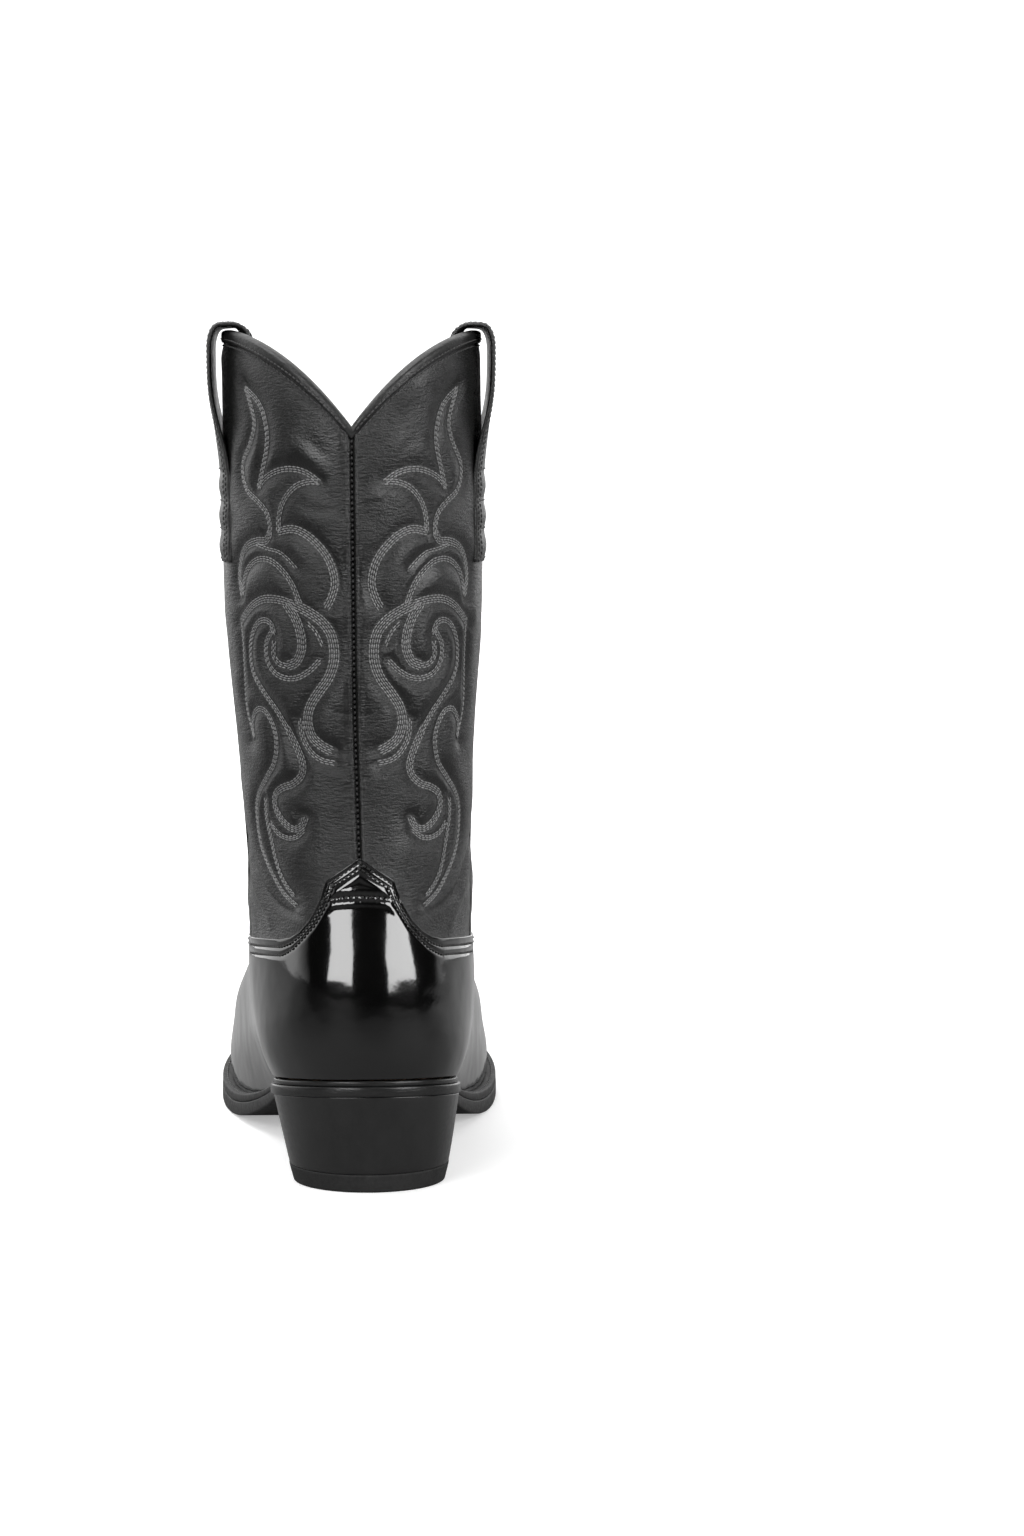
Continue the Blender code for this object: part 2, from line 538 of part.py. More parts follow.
def cutter(name, holes):
    """Turned holes as one guide object; each hole is (x, y, sections)."""
    points, faces = [], []
    for hole in holes:
        more, around = turned(*hole)
        faces += [tuple(i + len(points) for i in face) for face in around]
        points += more
    obj = mesh_object(name, points, faces)
    obj.hide_render = True
    obj.display_type = "WIRE"
    return obj


def drill(target, guide):
    boolean = target.modifiers.new("holes", "BOOLEAN")
    boolean.operation = "DIFFERENCE"
    boolean.object = guide


def countersunk(name, x, y, foot, radius, head, head_height):
    """Headed steel pin driven down through the insole. Returns the hole that clears it."""
    top = float(welt_top(y)) + SOLE_GAP + INSOLE - SEAT_PITCH * head
    neck = top - head_height
    mesh_object(name, *turned(x, y, ((foot, 0.5 * radius), (foot + PIN_POINT, radius), (neck - 0.1, radius),
                                     (neck, head), (top, head))), STEEL)
    return x, y, ((foot - HOLE_PLAY, radius + HOLE_PLAY), (neck - HOLE_PLAY, radius + HOLE_PLAY),
                  (neck - HOLE_PLAY, head + HOLE_PLAY), (top + HOLE_RUN_OUT, head + HOLE_PLAY))


def build_fasteners(outsole, insole, block):
    """Heel nails and screw driven from inside, and wooden pegs along the waist."""
    wide, long, middle = NAIL_CIRCLE
    holes = [countersunk("heel_screw", SEAT_CENTRE, SCREW_Y, SCREW_FOOT, SCREW_RADIUS, SCREW_HEAD, 1.2)]
    for number, angle in enumerate(np.radians(NAIL_ANGLES), 1):
        holes.append(countersunk(f"heel_nail_{number}", SEAT_CENTRE + wide * math.sin(angle),
                                 middle - long * math.cos(angle), NAIL_FOOT, NAIL_RADIUS, NAIL_HEAD, 0.7))
    guide = cutter("heel_fastener_holes", holes)
    for target in (outsole, insole, block):
        drill(target, guide)
    peg_holes = []
    for side in ("lateral", "medial"):
        for number, place in enumerate(PEG_PLACES, 1):
            turn = float(turn_at(place, FEATHER))
            turn = turn if side == "lateral" else 1.0 - turn
            x, y = outline(np.array([turn]), np.array([-PEG_INSET]))[0]
            low, high = float(sole_bottom(y)) + PEG_SKIN, float(outsole_top(y)) - PEG_SKIN
            mesh_object(f"waist_peg_{side}_{number}", *turned(x, y, tuple(zip((low, high), PEG_RADII)), 6),
                        PEG_WOOD)
            peg_holes.append((x, y, ((low - HOLE_RUN_OUT, PEG_HOLE), (high + HOLE_RUN_OUT, PEG_HOLE))))
    drill(outsole, cutter("waist_peg_holes", peg_holes))


def main():
    for obj in list(bpy.data.objects):
        bpy.data.objects.remove(obj, do_unlink=True)
    build_shaft()
    build_binding()
    build_pull_strap("pull_strap_lateral", 0.25)
    build_pull_strap("pull_strap_medial", 0.75)
    build_foot()
    outsole, insole = build_sole()
    block = build_heel()
    build_fasteners(outsole, insole, block)


main()
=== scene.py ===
"""Looks of the left cowboy boot: embossed black shaft, patent foot, stacked heel and studio.

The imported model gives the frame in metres. Lengths below are in millimetres, and the upper's
shape is worked out by the same curves as the CAD pieces, at a finer step.
"""
import math

import bpy
import numpy as np
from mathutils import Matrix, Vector


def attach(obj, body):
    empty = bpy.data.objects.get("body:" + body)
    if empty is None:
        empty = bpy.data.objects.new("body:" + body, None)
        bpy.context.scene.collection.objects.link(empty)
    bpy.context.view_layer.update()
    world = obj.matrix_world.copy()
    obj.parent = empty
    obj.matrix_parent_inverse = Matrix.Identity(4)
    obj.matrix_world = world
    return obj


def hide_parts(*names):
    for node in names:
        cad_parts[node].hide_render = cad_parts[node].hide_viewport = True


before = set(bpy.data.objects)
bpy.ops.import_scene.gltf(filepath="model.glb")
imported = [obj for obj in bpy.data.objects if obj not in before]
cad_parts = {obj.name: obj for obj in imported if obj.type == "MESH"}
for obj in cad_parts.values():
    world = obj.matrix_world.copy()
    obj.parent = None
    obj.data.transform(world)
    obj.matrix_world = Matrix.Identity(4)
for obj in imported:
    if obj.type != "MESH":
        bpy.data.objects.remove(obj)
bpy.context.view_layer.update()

MM = 0.001

# Sole unit
LIFT_HEIGHT = 7.0
SEAT_Z = 37.8
SEAT_BACK = -37.0
SEAT_PITCH = 0.13
HEEL_BREAST = 33.0
ARCH_END = 148.0
SPRING_START = 150.0
TOE_SPRING = 19.0
TOE_TIP = 268.0
SPRING_POWER = 1.6
OUTSOLE_HEEL, OUTSOLE_BALL = 3.6, 5.6
WELT_HEEL, WELT_BALL = 1.7, 3.5
SOLE_GAP = 0.5

# Upper
LEATHER = 1.4         # panel thickness
OVERLAY = 1.9         # outer face of counter and vamp, above the shaft's
LINING_FACE = -2.3
SEAM_Y = 23.0
FEATHER = 16.0
OVERLAY_FOOT = 17.6
PANEL_FOOT = 70.0
LINING_FOOT = 96.0
NOTCH_Z, NOTCH_RISE, NOTCH_POWER, FRONT_DIP = 286.0, 36.0, 2.7, 3.5

# Lines of the upper, each with its level, x of its centre, back (y, z), front (y, z), how closely
# it follows the sole's curve, and seven half widths at even steps of angle from back to front.
RINGS = (
    (16, -2.2, (-34.5, 43.6), (262.0, 27.0), 1.00, (24.0, 33.5, 31.0, 40.8, 51.8, 44.8, 22.5)),
    (28, -2.5, (-38.0, 53.5), (265.5, 35.2), 0.85, (25.0, 37.5, 35.8, 42.8, 52.8, 45.2, 23.8)),
    (40, -2.9, (-39.6, 63.5), (261.5, 43.5), 0.70, (24.6, 38.8, 40.0, 44.0, 51.2, 43.2, 23.8)),
    (52, -3.2, (-39.8, 73.5), (246.5, 51.0), 0.55, (23.5, 38.3, 42.0, 43.5, 49.5, 40.5, 22.5)),
    (63, -3.5, (-38.8, 83.5), (217.0, 57.6), 0.40, (22.0, 37.0, 42.4, 42.5, 45.5, 37.5, 21.0)),
    (74, -3.7, (-36.8, 93.5), (182.0, 65.5), 0.28, (20.2, 35.0, 42.0, 41.8, 41.0, 33.5, 19.0)),
    (88, -3.9, (-34.2, 104.5), (146.0, 79.0), 0.18, (18.3, 32.6, 41.2, 41.8, 38.4, 30.5, 17.5)),
    (106, -4.1, (-32.0, 117.5), (111.0, 98.5), 0.10, (16.8, 30.7, 40.0, 42.0, 38.0, 29.0, 16.2)),
    (126, -4.5, (-30.8, 132.5), (85.0, 121.5), 0.04, (16.4, 30.2, 39.2, 42.3, 38.8, 29.4, 15.8)),
    (147, -5.0, (-31.0, 150.0), (75.5, 145.0), 0.00, (16.6, 30.7, 40.1, 43.3, 40.0, 30.4, 16.3)),
    (172, -5.6, (-33.0, 173.0), (75.0, 171.0), 0.00, (17.0, 31.6, 41.4, 44.8, 41.4, 31.6, 17.0)),
    (203, -6.0, (-37.0, 203.0), (79.0, 203.0), 0.00, (18.0, 33.4, 43.8, 47.4, 43.8, 33.4, 18.0)),
    (243, -6.3, (-41.0, 243.0), (84.5, 243.0), 0.00, (18.5, 34.2, 44.9, 48.6, 44.9, 34.2, 18.5)),
    (285, -6.6, (-43.6, 285.0), (88.0, 285.0), 0.00, (18.5, 34.2, 44.8, 48.4, 44.8, 34.2, 18.5)),
    (330, -6.7, (-44.6, 330.0), (89.0, 330.0), 0.00, (18.5, 34.2, 44.8, 48.4, 44.8, 34.2, 18.5)),
)

# Top edges by share of the way: counter from the back seam to its side seam, front panel across
# its whole width, vamp from its side seam to the tongue.
COUNTER_EDGE = ((0.0, 119.0), (0.10, 113.2), (0.205, 107.6), (0.25, 97.8), (0.29, 92.0), (0.33, 87.0),
                (0.40, 81.7), (0.47, 79.2), (0.56, 78.2), (0.82, 78.6), (1.0, 79.2))
FRONT_PANEL_EDGE = ((0.0, 72.0), (0.16, 82.0), (0.26, 94.0), (0.34, 108.0), (0.44, 129.0), (0.5, 138.0))
VAMP_EDGE = ((0.0, 79.2), (0.2, 81.5), (0.4, 90.0), (0.6, 104.0), (0.76, 122.0), (0.9, 142.0),
             (1.0, 152.0))

# Stitched ornament of one quarter of the shaft: rows of stitches and the middle line as (girth
# from the back seam, level). The other three quarters mirror it.
ORNAMENT = (
    (3, ((52, 302), (47, 294), (45, 288), (48, 281), (54, 274), (54, 268), (50, 263), (44, 260), (38, 256),
         (35.5, 251), (35.5, 247))),
    (3, ((51, 301), (44, 297.5), (39.5, 293), (37, 286), (37, 280), (39, 273), (42.5, 264))),
    (3, ((42.5, 264), (39, 267.5), (34, 270), (28, 271.5), (22, 271.5), (17, 270), (12.5, 267))),
    (3, ((12.5, 267), (17, 267), (22, 265.5), (26, 262.5), (29, 258.5), (30.5, 254), (31, 248))),
    (4, ((31, 248.5), (24, 249.5), (18, 247.5), (13, 243.5), (9.5, 239), (7.5, 234), (7, 229), (8.5, 224),
         (10.5, 220.5))),
    (4, ((35.5, 248), (38, 245), (44, 244.5), (51, 242.5), (56, 238), (58, 231), (55.5, 223.5))),
    (2, ((44, 243.5), (37, 242), (31, 241), (26.5, 238.5), (22.5, 235))),
    (3, ((55, 224), (53, 231), (48.5, 235.5), (42, 238), (35, 237.5), (29, 234), (24.5, 229), (21, 222))),
    (4, ((57.5, 213.5), (52, 217.5), (46, 221), (39, 223.2), (31, 223.2), (24, 221.8))),
    (5, ((24, 221.8), (17.5, 219), (12.5, 215.8), (9, 211.5), (7.6, 206), (7.8, 200), (10, 194),
         (14, 188.5), (17.5, 183), (18.6, 177.5), (17, 171.5), (13.5, 168), (9, 165.5))),
    (3, ((21.8, 178), (21, 171), (17.8, 165.3), (13.5, 162), (8.5, 160.8))),
    (2, ((18, 215), (14.5, 211.5), (12, 206.5))),
    (5, ((27.5, 222), (23.5, 217), (21.2, 211.5), (20.6, 205.5), (23, 200.3), (27.5, 198.3))),
    (3, ((27.5, 198.3), (31.5, 199.3), (34.2, 202.5), (33.8, 207.5))),
    (3, ((34.5, 212), (38.3, 206.5), (38, 200.5), (34.5, 196), (29, 193.8), (23, 194), (17.5, 196.8),
         (13, 201))),
    (3, ((33.5, 210), (35.5, 214), (39.5, 215.3), (44.5, 213.3), (48.5, 207.5), (49.3, 200), (47, 194),
         (40.5, 187.5), (33.5, 181), (28, 174))),
    (4, ((28, 174), (24, 167), (21.5, 160.5), (22.3, 155.5), (26.5, 151.8), (31.5, 150.2), (36, 147.5),
         (37.2, 143), (35.3, 138.5), (31.3, 134.3), (27, 132.3), (23.2, 133.8), (21.3, 137.5))),
    (3, ((41.5, 135), (37, 130.5), (31.5, 128.3), (26.5, 128.6), (22, 132))),
    (2, ((56.5, 213), (55.5, 203), (55.5, 193), (56, 184), (54, 177), (50, 170))),
    (3, ((50.5, 169), (50.5, 176), (46.5, 180.5), (41, 180.5), (36.5, 176), (34.3, 169), (36, 160.5),
         (41.5, 154), (48, 148), (52.5, 142), (54, 134), (53, 126), (49.5, 119), (43.5, 110), (37, 101.5),
         (29, 95))),
    (3, ((43.5, 145), (44, 137), (42, 127), (40, 117), (36.5, 108), (30, 99.5))),
)
WELT_FOOT = 0.34      # gap between the outsole's top and the welt
EDGE_RADIUS = 0.7     # rounding of the sole layers' edges
STITCH_ROW = 0.85     # spacing of the rows in a band
PIPING_RADIUS, PIPING_TURN = 1.1, 0.0034   # the cord's half thickness, and its half width as a turn
SEAM_STITCH = 1.5     # length of the stitches in the black seams
THREAD = 0.27         # thread radius
STITCH_PITCH = 1.9
PUFF = 1.7            # how high the leather stands between the bands
PUFF_RUN = 2.8        # how far from a band it takes to rise
PUFF_BASE = -0.75     # where the bands lie, from the shaft's smooth face

# Soft folds in the shaft: height, half width and the line as (girth, level); girth is
# negative on the medial side.
FOLDS = (
    (0.54, 4.3, ((25, 283), (19, 279), (13, 274), (9, 268))),
    (-0.42, 3.0, ((20, 285), (14, 280), (8, 274))),
    (0.33, 2.2, ((19, 263), (14, 260.5), (7, 257.5))),
    (0.48, 3.2, ((19, 254), (12, 253.5), (4, 253))),
    (-0.36, 1.6, ((18, 256.5), (11, 256.5), (2, 255.5))),
    (0.48, 4.6, ((-26, 290), (-20, 284), (-14, 277), (-9, 272))),
    (-0.3, 2.2, ((-24, 283), (-16, 275), (-11, 270))),
    (0.27, 1.8, ((-12, 263), (-8, 261.5), (-2, 260.5))),
    (-0.27, 1.2, ((-14, 261), (-8, 259.5), (-1, 258.8))),
    (-0.24, 1.2, ((9, 183), (5, 181), (0, 180.5))),
    (-0.24, 1.2, ((-9, 183), (-5, 180.5), (-1, 180))),
    (0.24, 1.5, ((10, 156), (5, 154), (0, 153.5))),
    (-0.21, 1.1, ((-10, 156), (-5, 155), (0, 155))),
)
# The fold over the ankle, the same on both sides
ANKLE_FOLDS = (
    (-1.3, 1.9, ((78, 134), (70, 126), (65, 120), (58, 112), (50, 103), (41, 96), (31, 91), (22, 88))),
    (0.9, 2.6, ((72, 122), (63, 109), (55.5, 99), (49, 90), (45, 82))),
)


def smooth(t):
    """Ease from 0 to 1 as t goes from 0 to 1."""
    t = np.clip(t, 0.0, 1.0)
    return t * t * (3.0 - 2.0 * t)


def natural_spline(knots, values):
    """Smooth curve through the values (one row for each knot), as a function of the knot's variable."""
    knots = np.asarray(knots, float)
    values = np.asarray(values, float).reshape(len(knots), -1)
    step = np.diff(knots)
    system = np.eye(len(knots))
    right = np.zeros_like(values)
    for i in range(1, len(knots) - 1):
        system[i, i - 1:i + 2] = step[i - 1], 2.0 * (step[i - 1] + step[i]), step[i]
        right[i] = 6.0 * ((values[i + 1] - values[i]) / step[i] - (values[i] - values[i - 1]) / step[i - 1])
    bend = np.linalg.solve(system, right)

    def curve(t):
        t = np.asarray(t, float)
        i = np.clip(np.searchsorted(knots, t) - 1, 0, len(knots) - 2)
        h = step[i][..., None]
        a = (knots[i + 1] - t)[..., None] / h
        b = 1.0 - a
        cubic = (a ** 3 - a) * bend[i] + (b ** 3 - b) * bend[i + 1]
        return a * values[i] + b * values[i + 1] + cubic * h * h / 6.0

    return curve


STEPS = np.arange(1, 8)
SINES = np.sin(np.outer(STEPS, STEPS) * math.pi / 8.0)
RING_CURVES = natural_spline(
    [ring[0] for ring in RINGS],
    [(ring[1], *ring[2], *ring[3], ring[4], *(SINES @ ring[5] / 4.0)) for ring in RINGS])


def toward_ball(y):
    return smooth((y - HEEL_BREAST) / (ARCH_END - HEEL_BREAST))


def sole_bottom(y):
    """Height of the outsole's underside: seat, arch, ball and toe spring."""
    spring = TOE_SPRING * np.clip((y - SPRING_START) / (TOE_TIP - SPRING_START), 0.0, None) ** SPRING_POWER
    return (SEAT_Z - SEAT_PITCH * (y - SEAT_BACK)) * (1.0 - toward_ball(y)) + spring


def outsole_top(y):
    return sole_bottom(y) + OUTSOLE_HEEL + (OUTSOLE_BALL - OUTSOLE_HEEL) * toward_ball(y)


def welt_top(y):
    return outsole_top(y) + SOLE_GAP + WELT_HEEL + (WELT_BALL - WELT_HEEL) * toward_ball(y)


def upper_surface(turn, level):
    """Smooth face of the upper. turn is 0 at the back, 0.25 lateral side, 0.5 front, 0.75 medial side."""
    turn, level = np.broadcast_arrays(np.asarray(turn, float), np.asarray(level, float))
    row = RING_CURVES(level)
    centre, back_y, back_z, front_y, front_z, follow = (row[..., i] for i in range(6))
    share = (1.0 - np.cos(2.0 * math.pi * turn)) / 2.0
    y = back_y + share * (front_y - back_y)
    chord = sole_bottom(back_y) + share * (sole_bottom(front_y) - sole_bottom(back_y))
    z = back_z + share * (front_z - back_z) + follow * (sole_bottom(y) - chord)
    half = np.sum(row[..., 6:] * np.sin(2.0 * math.pi * turn[..., None] * STEPS), axis=-1)
    ball = -2.6 * smooth((y - 20.0) / 110.0) * (1.0 - smooth(z / 140.0)) + 3.0 * smooth((y - 200.0) / 70.0)
    return np.stack([centre + ball - half, y, z], axis=-1)


def upper_frame(turn, level):
    """Point and outward normal of the upper's smooth face."""
    d = 1e-4
    across = upper_surface(turn + d, level) - upper_surface(turn - d, level)
    up = upper_surface(turn, level + 0.05) - upper_surface(turn, level - 0.05)
    normal = np.cross(up, across)
    return upper_surface(turn, level), normal / np.linalg.norm(normal, axis=-1, keepdims=True)


def upper_point(turn, level, offset):
    """Point on the upper, moved out from its smooth face by offset."""
    point, normal = upper_frame(turn, level)
    return point + normal * np.asarray(offset, float)[..., None]


def turn_at(y, level):
    """Turn on the lateral side where the ring of this level passes y."""
    row = RING_CURVES(level)
    share = (y - row[..., 1]) / (row[..., 3] - row[..., 1])
    return np.arccos(1.0 - 2.0 * np.clip(share, 0.0, 1.0)) / (2.0 * math.pi)


def side_seam(level):
    """Turn of the lateral side seam, which runs straight down the side."""
    return turn_at(SEAM_Y, np.asarray(level, float))


def topline(turn):
    """Level of the shaft's top edge: a V at the back and front, high at the sides."""
    from_notch = np.abs((np.asarray(turn) * 2.0 + 0.5) % 1.0 - 0.5) * 2.0
    depth = NOTCH_RISE + np.where(np.cos(2.0 * math.pi * np.asarray(turn)) < 0.0, FRONT_DIP, 0.0)
    return NOTCH_Z + NOTCH_RISE - depth * (1.0 - from_notch) ** NOTCH_POWER


def outline(turns, margin):
    """Feather line moved out by margin, as (x, y) points."""
    d = 1e-4
    along = (upper_surface(turns + d, FEATHER) - upper_surface(turns - d, FEATHER))[..., :2]
    along /= np.linalg.norm(along, axis=-1, keepdims=True)
    outwards = np.stack([-along[..., 1], along[..., 0]], axis=-1)
    return upper_surface(turns, FEATHER)[..., :2] + outwards * np.asarray(margin, float)[..., None]


def edge_margin(y):
    """How far the sole's edge stands out from the feather line."""
    return 3.0 + 3.3 * smooth((y - HEEL_BREAST) / 90.0)


# Girth round the upper, tabled over level and turn so that it can be read both ways.
TABLE_FOOT, TABLE_STEP, TABLE_TURNS = 20.0, 3.0, 400
TABLE_LEVELS = np.arange(TABLE_FOOT, 340.0, TABLE_STEP)


def girth_table():
    points = upper_surface(np.linspace(0.0, 0.5, TABLE_TURNS + 1), TABLE_LEVELS[:, None])
    runs = np.linalg.norm(np.diff(points, axis=1), axis=-1)
    return np.concatenate([np.zeros((len(TABLE_LEVELS), 1)), np.cumsum(runs, axis=1)], axis=1)


def look_up(table, row, column):
    """Value between a table's entries, at a fractional row and column."""
    row = np.clip(row, 0.0, table.shape[0] - 1.001)
    column = np.clip(column, 0.0, table.shape[1] - 1.001)
    r, c = row.astype(int), column.astype(int)
    fr, fc = row - r, column - c
    low = (1.0 - fc) * table[r, c] + fc * table[r, c + 1]
    high = (1.0 - fc) * table[r + 1, c] + fc * table[r + 1, c + 1]
    return (1.0 - fr) * low + fr * high


GIRTH = girth_table()


def girth(turn, level):
    """Distance round from the back seam, on either side."""
    near = np.abs((turn + 0.5) % 1.0 - 0.5)
    return look_up(GIRTH, (level - TABLE_FOOT) / TABLE_STEP, near * 2.0 * TABLE_TURNS)


def turn_at_girth(distance, level):
    """Turn on the lateral side at this distance from the back seam."""
    low, high = np.zeros(np.shape(distance)), np.full(np.shape(distance), 0.5)
    for _ in range(16):
        middle = (low + high) / 2.0
        short = girth(middle, level) < distance
        low, high = np.where(short, middle, low), np.where(short, high, middle)
    return (low + high) / 2.0


def quarter_girth(turn, level):
    """Girth folded back at the side seam, as the front mirrors the back."""
    seam = girth(side_seam(level), level)
    return seam - np.abs(girth(turn, level) - seam)


def curve_through(points, step):
    """Smooth curve through points of any dimension, sampled about every step."""
    points = np.asarray(points, float)
    ends = np.vstack([2.0 * points[0] - points[1], points, 2.0 * points[-1] - points[-2]])
    pieces = []
    for a, b, c, d in zip(ends, ends[1:], ends[2:], ends[3:]):
        t = np.linspace(0.0, 1.0, max(2, int(np.linalg.norm(c - b) / step) + 1), endpoint=False)[:, None]
        cubic = 2.0 * a - 5.0 * b + 4.0 * c - d + t * (3.0 * (b - c) + d - a)
        pieces.append(b + 0.5 * t * (c - a + t * cubic))
    return np.vstack(pieces + [points[-1:]])


def beside(line, distance):
    """A plane curve moved sideways by distance."""
    along = np.gradient(line, axis=0)
    along /= np.linalg.norm(along, axis=-1, keepdims=True) + 1e-9
    return line + distance * np.stack([-along[:, 1], along[:, 0]], axis=-1)


CELL = 0.5            # step of the tables of distance to the ornament
TABLE_WIDTH = 100.0


def band_gaps():
    """Distance from the nearest stitched band, over one quarter of the shaft."""
    levels = np.arange(TABLE_FOOT, 340.0, CELL)
    girths = np.arange(0.0, TABLE_WIDTH, CELL)
    gaps = np.full((len(levels), len(girths)), 12.0)
    reach = 24
    for rows, line in ORNAMENT:
        half = (rows - 1) * STITCH_ROW / 2.0 + THREAD
        for place, level in curve_through(line, 0.6):
            r, c = int((level - TABLE_FOOT) / CELL), int(place / CELL)
            r0, r1, c0, c1 = max(r - reach, 0), r + reach, max(c - reach, 0), c + reach
            away = np.hypot(levels[r0:r1, None] - level, girths[c0:c1] - place) - half
            gaps[r0:r1, c0:c1] = np.minimum(gaps[r0:r1, c0:c1], away)
    return np.maximum(gaps, 0.0)


GAPS = band_gaps()


def band_gap(turn, level):
    return look_up(GAPS, (level - TABLE_FOOT) / CELL, quarter_girth(turn, level) / CELL)


def ripple(u, v, size, seed):
    """Smooth random swell from -1 to 1 with features of this size."""
    table = np.random.default_rng(seed).uniform(-1.0, 1.0, (97, 97))
    u, v = (u / size + 40.0) % 96.0, (v / size) % 96.0
    r, c = np.floor(u), np.floor(v)
    return look_up(table, r + smooth(u - r), c + smooth(v - c))


def fold_height(folds, u, v):
    """Height of soft folds at (u, v), each dying away at its ends."""
    total = np.zeros(np.shape(u))
    for height, half_width, line in folds:
        track = curve_through(line, 1.2)
        nearest = np.full(np.shape(u), 1e9)
        weight = np.zeros(np.shape(u))
        for i, (a, b) in enumerate(track):
            away = np.hypot(u - a, v - b)
            closer = away < nearest
            nearest = np.where(closer, away, nearest)
            weight = np.where(closer, math.sin(math.pi * (i + 0.6) / (len(track) + 0.2)) ** 0.6, weight)
        total += height * weight * np.exp(-(nearest / half_width) ** 2)
    return total


def shaft_height(turn, level):
    """How far the shaft's leather stands from its smooth face."""
    around = girth(turn, level)
    signed = np.where(turn % 1.0 < 0.5, around, -around)
    quarter = quarter_girth(turn, level)
    puff = PUFF * (1.0 - np.exp(-(band_gap(turn, level) / PUFF_RUN) ** 1.4))
    swell = 0.35 * ripple(signed, level, 24.0, 3) + 0.16 * ripple(signed, level, 9.0, 5)
    height = PUFF_BASE + puff + swell * puff / PUFF
    back = quarter >= around - 0.01
    height += np.where(back, fold_height(FOLDS, signed, level), 0.0)
    height += fold_height(ANKLE_FOLDS, quarter, level)
    height *= smooth((topline(turn) - level - 1.0) / 9.0)
    ridge = 0.55 * np.exp(-((around - 1.4) / 0.6) ** 2) - 0.55 * np.exp(-(around / 0.6) ** 2)
    return height * smooth(around / 4.5) + ridge


def add_piece(name, points, faces, look, slot, *replaced):
    """Smooth-shaded mesh from points in millimetres, riding on the boot's one body."""
    mesh = bpy.data.meshes.new(name)
    mesh.from_pydata((np.asarray(points, float).reshape(-1, 3) * MM).tolist(), [], faces)
    mesh.shade_smooth()
    obj = bpy.data.objects.new(name, mesh)
    obj.data.materials.append(look)
    bpy.context.scene.collection.objects.link(obj)
    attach(obj, "root")
    if replaced:
        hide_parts(*replaced)
    return obj


def grid_faces(rows, columns, around=False, ends=False, loop=False):
    """Quads of a grid stored row by row. around joins the last column to the first, loop the last
    row to the first, and ends closes the first and last row."""
    faces = [(r * columns + c, (r + 1) % rows * columns + c,
              (r + 1) % rows * columns + (c + 1) % columns, r * columns + (c + 1) % columns)
             for r in range(rows if loop else rows - 1) for c in range(columns if around else columns - 1)]
    if ends:
        faces += [tuple(range(columns)), tuple(range((rows - 1) * columns, rows * columns))[::-1]]
    return faces


def edged(steps, rim):
    """Shares from 0 to 1 for a piece's rows or columns, and how deep each lies for a round edge.
    steps is how many there are, or the shares themselves."""
    inner = (np.linspace(0.0, 1.0, steps) if isinstance(steps, int) else steps)[1:-1]
    inner = inner[(inner > rim) & (inner < 1.0 - rim)]
    close = rim * np.array([0.0, 0.0, 0.25, 0.6])
    shares = np.concatenate([close, inner, (1.0 - close)[::-1]])
    shares = np.sort(shares)
    drop = np.zeros(len(shares))
    drop[:4] = (1.0, 0.3, 0.1, 0.02)
    drop[-4:] = (0.02, 0.1, 0.3, 1.0)
    return shares, drop


def leather_piece(name, look, slot, replaced, left, right, low, high, columns, rows, height,
                  thickness=LEATHER, rim=0.008):
    """Piece of the upper with round edges turned in. left and right give the turn of its side
    edges at a level, low and high the level of its lower and upper edges at a share across."""
    across, side_drop = edged(columns, rim)
    up, end_drop = edged(rows, rim)
    level = low(across) + up[:, None] * (high(across) - low(across))
    turn = left(level) + across * (right(level) - left(level))
    drop = np.maximum(side_drop, end_drop[:, None]) * thickness
    points = upper_point(turn, level, height(turn, level) - drop)
    obj = add_piece(name, points, grid_faces(*turn.shape), look, slot, replaced)
    return obj, turn, level


def sweep(name, rings, look, slot, replaced, closed_path=False):
    """Solid from closed rings of points (rings, ring points, 3), capped unless its path is closed."""
    faces = grid_faces(*rings.shape[:2], around=True, ends=not closed_path, loop=closed_path)
    return add_piece(name, rings, faces, look, slot, *replaced)


def slab(sheet, thickness, edge):
    """Closed rings round a sheet of points (rows, columns, 3): both faces and half-round edges.
    Returns the rings, the outer face and its normals."""
    along, across = np.gradient(sheet, axis=0), np.gradient(sheet, axis=1)
    normal = np.cross(along, across)
    normal /= np.linalg.norm(normal, axis=-1, keepdims=True)
    across /= np.linalg.norm(across, axis=-1, keepdims=True)
    half = np.full(sheet.shape[1], thickness / 2.0)
    half[[0, -1]] *= 0.72
    outer = sheet + normal * half[:, None]
    inner = sheet - normal * half[:, None]
    right = sheet[:, -1:] + across[:, -1:] * edge
    left = sheet[:, :1] - across[:, :1] * edge
    return np.concatenate([outer, right, inner[:, ::-1], left], axis=1), outer, normal


STITCH_SECTION = np.array([(math.cos(a), math.sin(a)) for a in np.arange(6) * math.pi / 3.0])
STITCH_SHAPE = np.array([(-0.5, 0.25, -0.5), (-0.3, 0.85, 0.0), (0.0, 1.0, 0.12), (0.3, 0.85, 0.0),
                         (0.5, 0.25, -0.5)])  # share of length, of radius, and rise in radii


